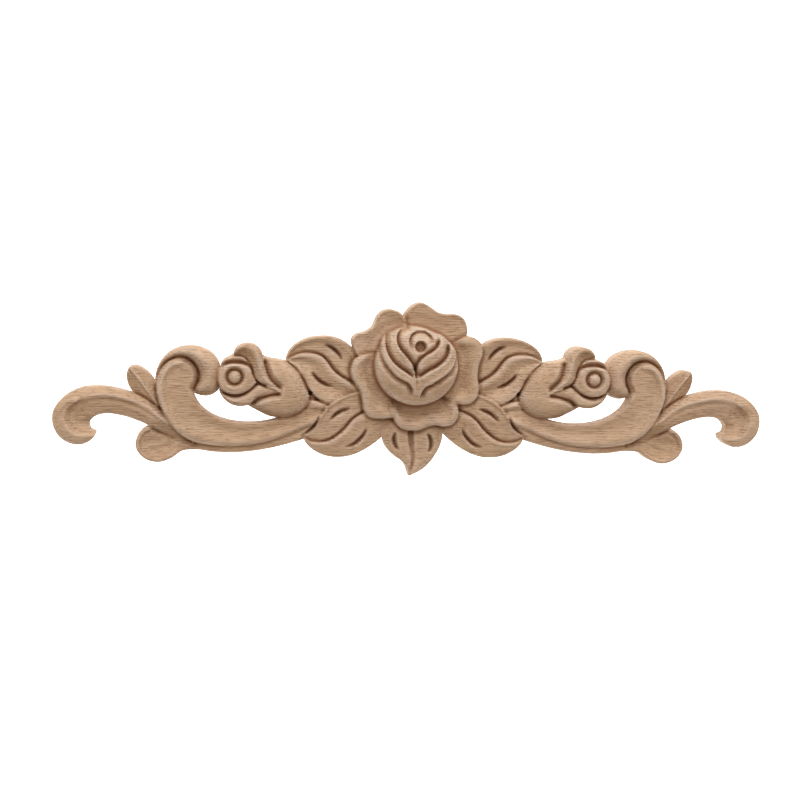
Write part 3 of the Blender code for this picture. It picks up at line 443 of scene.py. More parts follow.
bud_side = smooth([
    (-70, 15.2), (-67, 14.9), (-62, 13.2), (-54.5, 11.6), (-49.5, 7.9), (-46.2, 2.3), (-44.5, -3.2),
    (-46, -7.3), (-50.5, -10.6), (-56, -11.8), (-61, -11.4), (-66, -9.2), (-71, -6.5), (-77, -3), (-78, 6)])
behind_hood = smooth([(-63.9, 12.9), (-63.1, 8.6), (-61.3, 4.4), (-58.6, 1.6), (-56.2, -0.4)])
under_lip = smooth([(-56.2, -1.3), (-59.6, -1.8), (-62.8, -2.6), (-66.3, -4), (-69.8, -6.4)])
carve(bud_side, padded(foot=6.6, rise=5.9, radius=8.5), wall=0.5, sunk=1.2,
      cuts=(tuck(behind_hood, reach=2.8, depth=3.0), tuck(under_lip, reach=2.3, depth=3.6)))

seat = smooth([
    (-81.8, -0.6), (-82.5, 4), (-81.7, 8), (-80, 12), (-77.2, 13.9), (-73, 15.5), (-68, 13), (-64, 4),
    (-62, 0), (-66, -4), (-71, -6.4), (-76, -6.6), (-79.9, -4.2), (-81.8, -0.6)])
carve(seat, flat(SEAT_HEIGHT), sunk=0)

crescent_top = smooth([
    (-81.6, 9.8), (-80.4, 12), (-78.3, 13.3), (-75.3, 13.8), (-72.4, 13.3), (-70.3, 11.6), (-69, 9.4)])
crescent_foot = smooth([(-81.6, 9.8), (-78.9, 11.6), (-75.9, 12.1), (-72.4, 11.7), (-69, 9.4)])


def crescent(spots, depth):
    return CRESCENT_FOOT + CRESCENT_RISE * pillow(away(spots, crescent_foot), CRESCENT_ROUNDING)


carve(strip(crescent_top, crescent_foot), crescent, soften=0.15, wall=0.3, sunk=0)

hood_top = smooth([
    (-76.4, 14.1), (-75.2, 17.1), (-71.8, 18.9), (-67.7, 18.6), (-65, 16.4), (-64, 12.8), (-63.3, 8.3),
    (-61.4, 4.2), (-57, 0)])
hood_foot = smooth([
    (-76.4, 14.1), (-72.6, 13.8), (-69.9, 11.6), (-68.4, 8.3), (-67.6, 5.2), (-66, 3.1), (-61.9, 1.4),
    (-57, 0)])


def hood(spots, depth):
    place = across(spots, hood_top, hood_foot)
    cupped, bent = section(place, HOOD_CUPPED), section(place, HOOD_BENT)
    height = cupped + (bent - cupped) * change(spots[:, 0], *HOOD_BENDS)
    return height - HOOD_DROP * change(spots[:, 0], *HOOD_TIP)


carve(strip(hood_top, hood_foot), hood, soften=0.2, wall=0.35, sunk=0.4)

lip_top = smooth([
    (-82.2, -0.6), (-78.8, -2.5), (-75.8, -3.2), (-72.3, -2.4), (-68.7, 0.2), (-66.4, 1.9), (-61.9, 0.9),
    (-56.8, -1.1)])
lip_foot = smooth([
    (-82.2, -0.6), (-80, -4.3), (-76.8, -6.5), (-73.4, -7.1), (-69.6, -6.4), (-66.3, -3.7), (-62.8, -2.4),
    (-56.8, -1.1)])
carve(strip(lip_top, lip_foot), padded(foot=9.4, rise=2.2, radius=2.0), soften=0.2, wall=0.35, sunk=0.4)

bud_eye = (-75.9, 5.2)
ring_edge = smooth([
    (-66.5, 2.9), (-68.3, 6.2), (-69.3, 8.9), (-71.8, 10.3), (-75.2, 10.7), (-78.9, 10.4), (-81.6, 9),
    (-82.9, 5.6), (-82.6, 2.4), (-81.3, -0.3), (-78.7, -1.9), (-75.7, -2.3), (-72.2, -1.7), (-69.2, 0.1),
    (-66.5, 2.9)])


def ring(spots, depth):
    out = np.hypot(spots[:, 0] - bud_eye[0], spots[:, 1] - bud_eye[1])
    dot = DOT_TOP - DOT_CROWN * (out / DOT_RADIUS) ** 2
    return np.where(out < DOT_RADIUS, dot, section(out, RING))


carve(ring_edge, ring, soften=0.1, wall=0.35, sunk=0,
      crests=[arc(bud_eye, (r, r), 0, 350, 0.4) for r in (1.5, 2.3, 2.6, 3.1, 3.6, 4.1, 4.6)])

# The upper leaf. Each leaf is carved in two halves along an S-shaped rib: one half is cut down
# towards the rib and the other stands over it with a rounded edge. Two veins are V-cuts.
UPPER_LEAF_TOP = ((0, 5.0), (0.16, 6.5), (0.55, 6.4), (0.9, 7.5), (1, 7.5))  # place from rib to edge, height
UPPER_LEAF_FOOT = ((0, 7.6), (0.14, 7.8), (0.5, 6.5), (0.85, 8.2), (1, 8.1))
VEIN_WIDTH, VEIN_DEPTH = 2.1, 3.7
STANDS_OVER = {"wall": 0.35, "sunk": 1.1, "spread": 1.4}     # how the second half meets the first
upper_top = smooth([
    (-54.5, 11.7), (-53.6, 15.2), (-51.6, 17.9), (-48.7, 20), (-44.5, 21.7), (-40, 22.4), (-35, 22.1),
    (-30.5, 20.6), (-26.5, 17.3), (-22, 11)])
upper_foot = smooth([
    (-54.5, 11.7), (-51.8, 10), (-49.4, 7.7), (-47.1, 4.2), (-45, 0.1), (-42.6, -2.8), (-39, -5.2),
    (-34, -6.6), (-27, -6)])
upper_rib = smooth([
    (-54.5, 11.7), (-51.6, 13.8), (-48.7, 14.9), (-45.3, 15.2), (-42, 14.8), (-39.3, 13.6), (-37, 11.2),
    (-34.8, 8.2), (-31.8, 5.6), (-28.8, 3.9), (-22, -0.5)])
upper_vein = smooth([(-38.6, 18.6), (-36, 17.8), (-33.6, 16), (-31.9, 14), (-31.2, 12)])
under_vein = smooth([(-43.7, 7.4), (-42.2, 5.2), (-39.8, 3.1), (-37.2, 1.8), (-34.5, 1.1)])
leaf_root = [(-17, 8), (-17, -2)]


def half_leaf(outline, rib, edge, knots, vein, **laps):
    """Carves half a leaf, between its rib and its edge, with one vein."""
    carve(outline, lambda spots, depth: section(across(spots, rib, edge), knots),
          cuts=(groove(vein, VEIN_WIDTH, VEIN_DEPTH),), **laps)


half_leaf(np.concatenate([upper_top, leaf_root, upper_foot[::-1]]), upper_rib, upper_top,
          UPPER_LEAF_TOP, upper_vein)
half_leaf(np.concatenate([upper_rib, leaf_root[1:], upper_foot[::-1]]), upper_rib, upper_foot,
          UPPER_LEAF_FOOT, under_vein, **STANDS_OVER)

# The lower leaf, which spreads down and out from under the rose. It is carved the same way: its
# lower half is cut last and stands over the upper one along the rib.
LOWER_LEAF_TOP = ((0, 5.1), (0.14, 6.7), (0.5, 7.0), (0.86, 7.3), (0.96, 8.2), (1, 8.2))
LOWER_LEAF_FOOT = ((0, 7.5), (0.16, 7.7), (0.5, 7.1), (1, 6.1))
lower_top = smooth([
    (-47, -20), (-44.6, -18.1), (-42.3, -15.9), (-40.8, -13.3), (-39.3, -10.3), (-37.2, -7.4), (-34.9, -5.7),
    (-31.7, -3.8), (-28.4, -2.1), (-23.8, -1), (-18, -1)])
lower_foot = smooth([
    (-47, -20), (-46.2, -22.2), (-44.2, -24.5), (-41, -26.7), (-37.4, -28.1), (-33.5, -28.7), (-29.4, -28.5),
    (-25.2, -27.4), (-21, -25.4), (-16.8, -22.6), (-13, -19.2), (-10, -15)])
lower_rib = smooth([
    (-47, -20), (-44.2, -21.7), (-40.2, -22.3), (-36, -21.5), (-32.5, -19.4), (-29.3, -16.5), (-26.6, -13.2),
    (-24, -11.1), (-21.5, -9.8), (-16, -8)])
lower_vein = smooth([(-27, -8.1), (-29.6, -8.6), (-32.1, -9.7), (-34.4, -11.5), (-35.9, -13.4)])
foot_vein = smooth([(-20.3, -16.2), (-21.5, -18.9), (-23.6, -21.4), (-26.1, -23.3), (-29.2, -24.2)])
half_leaf(strip(lower_top, lower_foot), lower_rib, lower_top, LOWER_LEAF_TOP, lower_vein)
half_leaf(strip(lower_rib, lower_foot), lower_rib, lower_foot, LOWER_LEAF_FOOT, foot_vein, **STANDS_OVER)

# The corner between bud, leaf and stem. One touch of a thin drill takes out the wood that the
# cutter couldn't reach, and leaves a small deep hole.
DRILL_MIDDLE = (-44.2, -1.6)
DRILL_RADIUS = 0.9
WOOD_UNDER_DRILL = 1.2
carve(arc(DRILL_MIDDLE, (DRILL_RADIUS, DRILL_RADIUS), 0, 340, 0.3), flat(WOOD_UNDER_DRILL), wall=0.3,
      soften=0, sunk=0)

# The two wings mirror each other, as the same cutting path was flipped for the right side.
# Between them thin wood is left, which the rose and the leaf below it are cut over.
MARGIN_THICKNESS = 5.5
board = np.hstack([board, board[:, ::-1]])
columns = np.concatenate([columns, -columns[::-1]])
carve(arc((0, 4), (20, 17), 0, 350), flat(MARGIN_THICKNESS), wing=False)

# The leaf that hangs below the rose. Its middle vein is a deep cut with a flat floor, which
# widens upward, and a short V-cut marks each half.
PENDANT = ((0, 7.2), (0.45, 7.4), (1, 5.9))      # place from the vein to the edge, and height
MIDDLE_VEIN_HALF_WIDTH = (0.45, 1.6)             # at the tip, and how much wider at the top
MIDDLE_VEIN_DEPTH = (0.8, 2.4)
MIDDLE_VEIN_FLOOR = 1.9                          # the larger, the wider the floor
SIDE_VEIN_WIDTH, SIDE_VEIN_DEPTH = 2.3, 3.8
pendant_left = smooth([
    (-2.1, -36.7), (-2.9, -34.3), (-3.9, -32), (-5.8, -29.9), (-8.6, -28), (-11.4, -25.3), (-13.1, -22),
    (-13.4, -18.5), (-12.7, -14.5), (-9, -8)])
pendant_right = smooth([
    (-2.1, -36.7), (0.7, -35.6), (3.4, -34.1), (6.3, -31.6), (9, -28), (11.2, -23.8), (12.2, -19.5),
    (12.1, -15.5), (9, -8)])
pendant_vein = smooth([
    (-1.9, -35.5), (-0.9, -32), (-0.5, -28.8), (-1, -25), (-1.5, -21), (-1.4, -15), (-1, -8)])
pendant_cuts = [smooth([(-8, -18), (-8.6, -20.9), (-7.9, -23.5), (-6.5, -25.7)]),
                smooth([(5.3, -18.3), (6.9, -20.9), (7.2, -23.6), (5.9, -26.7)])]


def pendant(spots, depth):
    off_vein, along = nearest(spots, pendant_vein)
    margin = np.minimum(away(spots, pendant_left), away(spots, pendant_right))
    place = np.abs(off_vein) / np.maximum(np.abs(off_vein) + margin, 1e-6)
    half_width = MIDDLE_VEIN_HALF_WIDTH[0] + MIDDLE_VEIN_HALF_WIDTH[1] * along
    vein = ease(MIDDLE_VEIN_FLOOR * (1 - np.abs(off_vein) / half_width))
    return section(place, PENDANT) - (MIDDLE_VEIN_DEPTH[0] + MIDDLE_VEIN_DEPTH[1] * along) * vein


carve(strip(pendant_left, pendant_right), pendant, soften=0.12, wing=False,
      cuts=[groove(vein, SIDE_VEIN_WIDTH, SIDE_VEIN_DEPTH) for vein in pendant_cuts],
      crests=(pendant_vein, offset(pendant_vein, 0.9), offset(pendant_vein, -0.9)))

# The rose's five open petals. Each is dished from a rolled rim down to the heart, and each one
# laps over the petal before it, so they are cut in order: top right, top left, left, bottom, right.
DISH = ((0, 0), (0.2, 0.2), (0.75, 1), (1, 1))   # place from the heart to the rim, and share of the rise
HEART_CLEARANCE = 5                              # how far from the heart a petal starts to rise
ROLL_OVER_WIDTH = 2.0
heart_edge = smooth([
    (-17.9, 11.5), (-17.5, 6.8), (-16.1, 3), (-13.7, -0.5), (-10.4, -3.3), (-6.6, -5.3), (-2.5, -6.5),
    (1.5, -6.6), (5.6, -5.8), (9.6, -3.9), (13.1, -1.1), (15.9, 2.6), (17.6, 7), (18, 11.5), (17.4, 15.3),
    (16, 18.4), (13.4, 21.2), (10.2, 23.8), (7.2, 24.8), (4.4, 26.1), (1.5, 27), (-1.5, 27.4), (-4.5, 27.2),
    (-7.5, 26.5), (-10.4, 25.4), (-13.2, 23.8), (-15.2, 21.4), (-16, 18.6), (-17.2, 15.2), (-17.9, 11.5)])


def petal(rim_points, root, floor, rim_height, bead, bead_width, roll_over):
    rim = smooth(rim_points)

    def dished(spots, depth):
        lift = section(across(spots, heart_edge, rim), DISH)
        lift = lift * ease(away(spots, heart_edge) / HEART_CLEARANCE)
        margin = away(spots, rim)
        turned_up = bead * (1 - ease(margin / bead_width))
        rolled_over = roll_over * (1 - ease(margin / ROLL_OVER_WIDTH))
        return floor + (rim_height - floor) * lift + turned_up - rolled_over

    carve(np.concatenate([rim, root]), dished, wall=0.35, wing=False, sunk=0.9, spread=2.0)


petal([(-8, 27), (-6, 30.2), (-4.4, 32.7), (-2.4, 35.1), (1.8, 36.9), (6, 35), (9.2, 32.9), (12.6, 32.2),
       (16.6, 32.2), (19.6, 30.7), (21.4, 27), (21.3, 22.6)], [(16, 17), (-6, 17)],
      floor=7.3, rim_height=8.0, bead=0.5, bead_width=2.0, roll_over=0.0)
petal([(-24.6, 14), (-26.8, 18.4), (-27.1, 21.2), (-25.6, 23.1), (-21, 24.7), (-18.7, 26.4), (-16.5, 31),
       (-14.6, 33), (-11.5, 33.9), (-7.6, 32.9), (-5.1, 30.3), (-4, 26), (-3.5, 20)], [(-10, 12)],
      floor=7.3, rim_height=8.4, bead=0.6, bead_width=2.2, roll_over=0.0)
petal([(-14, 14), (-19.2, 15), (-22.6, 14.7), (-25.6, 13.2), (-27.4, 10), (-27.4, 6), (-26, 2.7),
       (-23.6, -0.8), (-22.6, -4.6), (-21.8, -8.8), (-19.6, -11.4), (-14.5, -12.2), (-8, -11.5)],
      [(-5, -8), (-5, 10)], floor=7.0, rim_height=10.0, bead=0.2, bead_width=4.0, roll_over=0.8)
petal([(-9.6, -2), (-10, -8), (-9.1, -12.6), (-6.5, -15.8), (-2.2, -17.3), (2, -17), (5.2, -15.7),
       (8.6, -14.9), (12.5, -15.5), (16.2, -14.4), (18.4, -11), (18.4, -7), (15, -2)], [(8, 2), (-5, 2)],
      floor=4.9, rim_height=9.8, bead=0.4, bead_width=5.0, roll_over=1.1)
petal([(14, 18.2), (18, 21.3), (21.4, 22.9), (25, 22.2), (27.7, 19.7), (28.4, 16.2), (26.9, 10.5),
       (26.4, 6), (27, 1.8), (26.2, -3), (23.3, -5.7), (19.5, -6.1), (14, -4)], [(8, 0), (8, 14)],
      floor=6.9, rim_height=9.6, bead=0.2, bead_width=4.0, roll_over=0.8)

# The closed heart of the rose: a ball cut into wrapped petals around a drilled eye. Each cut has
# a steep wall and a sharp lip on the side of the petal in front, and a ramp on the petal behind.
ROSE_HEIGHT = -cad_low.y / MM
HEART_FOOT = 8.4
HEART_MIDDLE = (0, 10.4)
HEART_RADII = (18.3, 17.4)
HEART_FLATNESS = 2.4                             # 2 is a ball, and more is flatter on top
EYE = ((0, 4.0), (1.9, 3.8), (2.7, 0))           # distance from the middle of the eye, and depth
heart_eye = (0.9, 18.6)
inner_roll = smooth([
    (-1.4, 16.2), (-3.1, 18.1), (-3.8, 20.4), (-3.2, 23), (-1.4, 24.6), (1.2, 25.1), (3.7, 24.5),
    (5.5, 22.9), (6.4, 20.6), (6.2, 18.4)])
left_wrap = smooth([
    (-2.6, 27), (-5.3, 26.3), (-7.6, 24.9), (-8.7, 22.6), (-8.6, 20), (-7.4, 17.4), (-5.6, 15.3),
    (-3.6, 12.9), (-2.1, 10.6), (-1.3, 8), (-1, 5.6)])
right_wrap = smooth([
    (-0.9, 8.4), (-0.5, 10.8), (0.8, 13.2), (3.2, 15.2), (6.2, 17), (8.2, 18.9), (9, 21.2), (8.4, 23.2)])
left_middle = smooth([
    (-11.9, 24.9), (-13, 23), (-13.4, 20.2), (-12.8, 16.5), (-11, 13), (-7.8, 9.9), (-4.8, 7.9),
    (-2.2, 5.9)])
right_middle = smooth([
    (0.4, 5.9), (4.2, 8.5), (8.4, 10.8), (11.2, 13.1), (13, 16.2), (13.2, 18.8), (12.4, 20.8)])
left_outer = smooth([
    (-6, 26.9), (-9.8, 25.7), (-12.7, 24), (-14.6, 21.8), (-15.5, 19.2), (-15.5, 16.4), (-14.7, 13.7),
    (-13.2, 11), (-11.4, 8.6), (-9.2, 6.3), (-6.4, 4.7), (-4, 3.4), (-2.6, 1.4), (-2.1, -1.4), (-1.9, -3.8)])
right_outer = smooth([
    (13.3, 21.2), (15.8, 19.2), (16.7, 16.2), (16.2, 12.6), (14, 8.8), (10.2, 5.8), (6, 3.2), (3, 1.6),
    (1.8, -0.2), (1.3, -2.2), (1.1, -4)])
heart_cleft = smooth([(-1, 5.2), (-1, 7.8), (-1.1, 10.6)])
stem_vee = smooth([(-0.6, 6.2), (-0.6, 3.6), (-0.7, 1.6)])


def heart(spots, depth):
    out = np.hypot(*((spots - HEART_MIDDLE) / HEART_RADII).T)
    ball = HEART_FOOT + (ROSE_HEIGHT - HEART_FOOT) * np.sqrt(np.clip(1 - out ** HEART_FLATNESS, 0.0, 1.0))
    return ball - section(np.hypot(*(spots - heart_eye).T), EYE)


carve(heart_edge, heart, wall=0.7, soften=0.1, wing=False, sunk=0,
      crests=[arc(heart_eye, (r, r), 0, 350, 0.4) for r in (1.6, 2.0, 2.4, 2.8)],
      cuts=(tuck(inner_roll[::-1], reach=1.8, depth=2.6, lip=0.4, wall=0.35, ends=(0.25, 0.25)),
            tuck(left_wrap, reach=2.3, depth=3.4, lip=0.6, wall=0.35, ends=(0.06, 0.02)),
            tuck(right_wrap, reach=2.3, depth=3.4, lip=0.6, wall=0.35, ends=(0.02, 0.2)),
            tuck(left_middle, reach=2.3, depth=3.2, lip=0.7, wall=0.35, ends=(0.12, 0.03)),
            tuck(right_middle, reach=2.8, depth=3.6, lip=0.7, wall=0.35, ends=(0.03, 0.15)),
            tuck(left_outer[::-1], reach=2.6, depth=2.3, lip=0.8, wall=0.35, ends=(0.12, 0.06),
                 lip_reach=1.6),
            tuck(right_outer, reach=2.6, depth=2.5, lip=0.8, wall=0.35, ends=(0.05, 0.1), lip_reach=1.6),
            groove(stem_vee, width=1.3, depth=1.6), groove(heart_cleft, width=1.7, depth=2.6)))

# Cutter and sandpaper. The ball-ended cutter leaves a small fillet in every inner corner, and
# the sanding takes the sharpness off every edge that stands proud.
CUTTER_RADIUS = 0.35
SANDED_RADIUS = 0.35
OUTLINE_ROUNDING = 0.85
LAST_RUB = 0.12           # reach of the last rub with sandpaper
HOLLOW_REACH = 1.1        # a spot lower than the wood this near around it is in a cut
APRON = 10                # steps by which the heights run on past the outline
wood = board > 0
for _ in range(APRON):
    known = board > 0
    near = np.pad(board, 1)
    seen = np.pad(known, 1).astype(float)
    total = sum(np.roll(near, s, a) for s in (1, -1) for a in (0, 1))[1:-1, 1:-1]
    count = sum(np.roll(seen, s, a) for s in (1, -1) for a in (0, 1))[1:-1, 1:-1]
    board = np.where(~known & (count > 0), total / np.maximum(count, 1), board)


def rolled_under(heights, radius):
    """Heights that a ball reaches when it rolls over the carving: inner corners fill up."""
    reach = int(radius / CUTTER_STEP)
    steps = [(i, j) for i in range(-reach, reach + 1) for j in range(-reach, reach + 1)
             if math.hypot(i, j) * CUTTER_STEP <= radius]
    cap = {s: math.sqrt(radius ** 2 - (math.hypot(*s) * CUTTER_STEP) ** 2) for s in steps}
    middle = np.full_like(heights, -1e9)
    for s in steps:
        middle = np.maximum(middle, np.roll(heights, s, (0, 1)) + cap[s])
    under = np.full_like(heights, 1e9)
    for s in steps:
        under = np.minimum(under, np.roll(middle, s, (0, 1)) - cap[s])
    return under


board = rolled_under(board, CUTTER_RADIUS)
board = -rolled_under(-board, SANDED_RADIUS)
solid = board > 0
board = blurred(board, solid, LAST_RUB)
hollow = blurred(board, wood, HOLLOW_REACH) - board


def read_off(field, points):
    """Values of the grid at any points, between its rows and columns."""
    u = np.clip((points[:, 0] - columns[0]) / CUTTER_STEP, 0, len(columns) - 1.001)
    v = np.clip((points[:, 1] - rows[0]) / CUTTER_STEP, 0, len(rows) - 1.001)
    i, j = u.astype(int), v.astype(int)
    u, v = u - i, v - j
    return ((field[j, i] * (1 - u) + field[j, i + 1] * u) * (1 - v)
            + (field[j + 1, i] * (1 - u) + field[j + 1, i + 1] * u) * v)


# The finished piece. Its outline is the joined outline of all forms, its sides are sawn square
# to the flat back, and its carved face takes the heights of the board.
POINT_GAP = 0.24
OPEN_FACE_GAP = 0.45
FEWEST_POINTS = 12        # smaller loops are slips between outlines that meet
JOIN_GAP = 0.005
SAME_POINT = 0.0005
RIM_ROWS = (0.12, 0.4, OUTLINE_ROUNDING)
EDGE_ROW, FOOT_ROW = 0.05, -0.3     # rows just inside and outside the edge of a form
ROW_SHARE = 0.87          # rows of the even fill lie this share of its gap apart
NEAREST_FILL = 0.7        # and no fill point comes nearer than this share


def both_sides(line, form):
    """A drawn line, and its mirror image where the form is in both wings."""
    return [line, line * (-1, 1)] if form["wing"] else [line]


def joined_outlines():
    """Closed loops around the joined outlines of all forms."""
    corners, faces = [], []
    for form in forms:
        for number, line in enumerate(both_sides(form["outline"], form)):
            line = line[::-1] if number else line
            faces.append(list(range(len(corners), len(corners) + len(line))))
            corners.extend(Vector(p) for p in line)
    points, _, triangles, _, _, origin = delaunay_2d_cdt(corners, [], faces, 0, JOIN_GAP)
    edges = {(a, b) for t, source in zip(triangles, origin) if source for a, b in zip(t, t[1:] + t[:1])}
    ahead = {a: b for a, b in edges if (b, a) not in edges}
    loops = []
    while ahead:
        start, spot = ahead.popitem()
        loop = [start]
        while spot != start:
            loop.append(spot)
            spot = ahead.pop(spot)
        kept = [np.array(points[loop[0]])]
        for index in loop[1:]:
            if np.linalg.norm(np.array(points[index]) - kept[-1]) >= POINT_GAP:
                kept.append(np.array(points[index]))
        if np.linalg.norm(kept[-1] - kept[0]) < POINT_GAP:
            kept.pop()
        if len(kept) >= FEWEST_POINTS:
            loops.append(np.array(kept))
    return loops


def inside_loops(points, loops):
    """Which points lie on wood: inside the outer loop and outside the gaps."""
    inside = np.zeros(len(points), bool)
    for loop in loops:
        inside ^= within(points, loop)
    return inside


def face_points(loops):
    """Points of the carved face: along every wall and cut first, then an even fill."""
    kept, cells = [], {}

    def add(point, gap):
        i, j = int(point[0] // POINT_GAP), int(point[1] // POINT_GAP)
        reach = math.ceil(gap / POINT_GAP)
        for di in range(-reach, reach + 1):
            for dj in range(-reach, reach + 1):
                for x, z in cells.get((i + di, j + dj), ()):
                    if (point[0] - x) ** 2 + (point[1] - z) ** 2 < gap * gap:
                        return
        cells.setdefault((i, j), []).append((point[0], point[1]))
        kept.append(point)

    for point in np.vstack(loops):
        add(point, 0)
    candidates = []
    for loop in loops:
        ring = np.vstack([loop, loop[:2]])
        candidates += [offset(ring, side)[1:-1] for side in RIM_ROWS]
    for index, form in enumerate(forms):
        ring = np.vstack([form["outline"], form["outline"][:2]])
        wall_rows = (EDGE_ROW, 0.55 * form["wall"], 1.1 * form["wall"], FOOT_ROW)
        lines = [offset(ring, side)[1:-1] for side in wall_rows]
        for line in lines + form["lines"]:
            for copy in both_sides(line, form):
                seen = np.ones(len(copy), bool)
                for cover in forms[index + 1:]:
                    here = copy
                    if cover["wing"]:
                        here = np.stack([-np.abs(copy[:, 0]), copy[:, 1]], axis=1)
                    seen &= ~within(here, cover["outline"])
                candidates.append(copy[seen])
    points = np.vstack(candidates)
    for point in points[inside_loops(points, loops)]:
        add(point, POINT_GAP)
    across_board = np.arange(columns[0], columns[-1], OPEN_FACE_GAP)
    lattice = []
    for number, z in enumerate(np.arange(rows[0], rows[-1], ROW_SHARE * OPEN_FACE_GAP)):
        shifted = across_board + 0.5 * OPEN_FACE_GAP * (number % 2)
        lattice.append(np.stack([shifted, np.full(len(shifted), z)], axis=1))
    points = np.vstack(lattice)
    for point in points[inside_loops(points, loops)]:
        add(point, NEAREST_FILL * OPEN_FACE_GAP)
    return np.array(kept)


loops = joined_outlines()
plan_points = face_points(loops)
edges, first = [], 0
for loop in loops:
    edges += [(first + i, first + (i + 1) % len(loop)) for i in range(len(loop))]
    first += len(loop)
edge_count = first
plan, _, triangles, _, _, _ = delaunay_2d_cdt([Vector(p) for p in plan_points], edges, [], 0, SAME_POINT)
plan = np.array(plan)
triangles = np.array(triangles)
triangles = triangles[inside_loops(plan[triangles].mean(axis=1), loops)]

QUARTERS = (0.0, 0.25, 0.5, 0.75)
to_edge = KDTree(len(edges) * len(QUARTERS))
for a, b in edges:
    for share in QUARTERS:
        spot = plan[a] * (1 - share) + plan[b] * share
        to_edge.insert((spot[0], spot[1], 0), a)
to_edge.balance()
from_edge = np.array([to_edge.find((x, z, 0))[2] for x, z in plan])
gap = np.clip(OUTLINE_ROUNDING - from_edge, 0, None)
heights = read_off(board, plan) - (OUTLINE_ROUNDING - np.sqrt(OUTLINE_ROUNDING ** 2 - gap ** 2))

piece_mesh = bmesh.new()
face_corners = [piece_mesh.verts.new((x * MM, -h * MM, z * MM)) for (x, z), h in zip(plan, heights)]
for a, b, c in triangles:
    piece_mesh.faces.new((face_corners[a], face_corners[b], face_corners[c]))
back_corners = [piece_mesh.verts.new((x * MM, 0, z * MM)) for x, z in plan[:edge_count]]
for a, b in edges:
    piece_mesh.faces.new((face_corners[b], face_corners[a], back_corners[a], back_corners[b]))
back_plan = [Vector(p) for p in plan[:edge_count]]
_, _, back_triangles, _, _, _ = delaunay_2d_cdt(back_plan, edges, [], 0, SAME_POINT)
middles = plan[np.array(back_triangles)].mean(axis=1)
for (a, b, c), keep in zip(back_triangles, inside_loops(middles, loops)):
    if keep:
        piece_mesh.faces.new((back_corners[c], back_corners[b], back_corners[a])).material_index = 1
bmesh.ops.delete(piece_mesh, geom=[v for v in piece_mesh.verts if not v.link_faces], context="VERTS")
bmesh.ops.recalc_face_normals(piece_mesh, faces=piece_mesh.faces)
applique_mesh = bpy.data.meshes.new("carved_wooden_applique")
piece_mesh.to_mesh(applique_mesh)
piece_mesh.free()
applique_mesh.shade_smooth()
applique_mesh.set_sharp_from_angle(angle=math.radians(60))

# Painted shade and highlight. The bottom of a cut is painted darker brown as shade, and the edges
# that stand proud are painted paler as a highlight, so each point keeps how deep it lies in a cut, in
# millimetres.
CUTS_CLEAR_OF_EDGE = 2.0
# Painted highlight along the outline: how proud the edge counts there, and how far in.
HIGHLIGHT_EDGE_HEIGHT, HIGHLIGHT_EDGE_WIDTH = 0.6, 0.8
ON_THE_BACK = -0.01
corner = np.empty(len(applique_mesh.vertices) * 3)
applique_mesh.vertices.foreach_get("co", corner)
corner = corner.reshape(-1, 3) / MM
from_edge = np.array([to_edge.find((x, z, 0))[2] for x, _, z in corner])
# Painted shade: the deeper a point lies in a cut, the darker brown it is painted, except near the outline.
shade_and_highlight = read_off(hollow, corner[:, [0, 2]]) * ease(from_edge / CUTS_CLEAR_OF_EDGE)
# Near the outline the edge counts as standing proud, and is painted paler as a highlight.
shade_and_highlight -= HIGHLIGHT_EDGE_HEIGHT * (1 - ease(from_edge / HIGHLIGHT_EDGE_WIDTH))
shade_and_highlight[corner[:, 1] > ON_THE_BACK] = 0.0
painted_light_attribute = applique_mesh.attributes.new("painted_light_depth", "FLOAT", "POINT")
painted_light_attribute.data.foreach_set("value", shade_and_highlight.astype(np.float32))
applique = bpy.data.objects.new("carved_wooden_applique", applique_mesh)
bpy.context.scene.collection.objects.link(applique)

# Rubberwood, bare and sanded: pinkish tan and matt, with long straight fibres along the board and
# fine open pores a few millimetres long. The cutter's last passes show as faint lines about a
# millimetre apart, most of all on steep flanks.
PALE_BAND, TAN_BAND = "#D6B693", "#C9A685"
FIBRE_BROWN, PATCH_PINK, PORE_BROWN, PASS_BROWN = "#A67C57", "#D4B69C", "#80583A", "#7A5236"
# Colours of the painted shade in the cuts and of the painted highlight on the proud edges.
PAINTED_SHADE_BROWN, PAINTED_HIGHLIGHT_PALE = "#854B20", "#EBDDCD"
# Each pattern: length and width in millimetres, detail, roughness, shift, the noise it runs between
# and the values that it gives there.
GRAIN = {
    "bands": (90, 9, 2.0, 0.5, 0.0, (0.35, 0.65), (0, 1)),
    "fibres": (8, 0.5, 3.0, 0.6, 3.0, (0.3, 0.7), (0, 1)),
    "pores": (4.5, 0.4, 1.0, 0.5, 7.0, (0.56, 0.7), (0, 1)),
    "patches": (26, 12, 3.0, 0.5, 11.0, (0.4, 0.7), (0, 1)),
    "left by sanding": (5, 2.5, 2.0, 0.5, 13.0, (0.42, 0.6), (0, 1)),
    "roughness": (5, 1.2, 2.0, 0.5, 5.0, (0.3, 0.7), (0.56, 0.72)),
}
PASS_GAP = 1.15           # between the cutter's passes
WAVE_TURN = 0.314         # the wave pattern repeats every 0.314 units at a scale of 1
FLAT_FACE, STEEP_FACE = 0.98, 0.75        # how far a face looks to the front, from 0 to 1
SHADE_FROM, SHADE_TO = 0.2, 1.3           # depth in a cut where the painted shade starts and is full
HIGHLIGHT_FROM, HIGHLIGHT_TO = -0.1, -0.8           # and height above the wood around for the painted highlight
FIBRE_HEIGHT, PORE_HEIGHT, PASS_HEIGHT = 0.15, -0.12, -0.3


def linear(code):
    """Linear colour of an sRGB hex code."""
    parts = [int(code[i:i + 2], 16) / 255 for i in (1, 3, 5)]
    return [c / 12.92 if c <= 0.04045 else ((c + 0.055) / 1.055) ** 2.4 for c in parts] + [1.0]


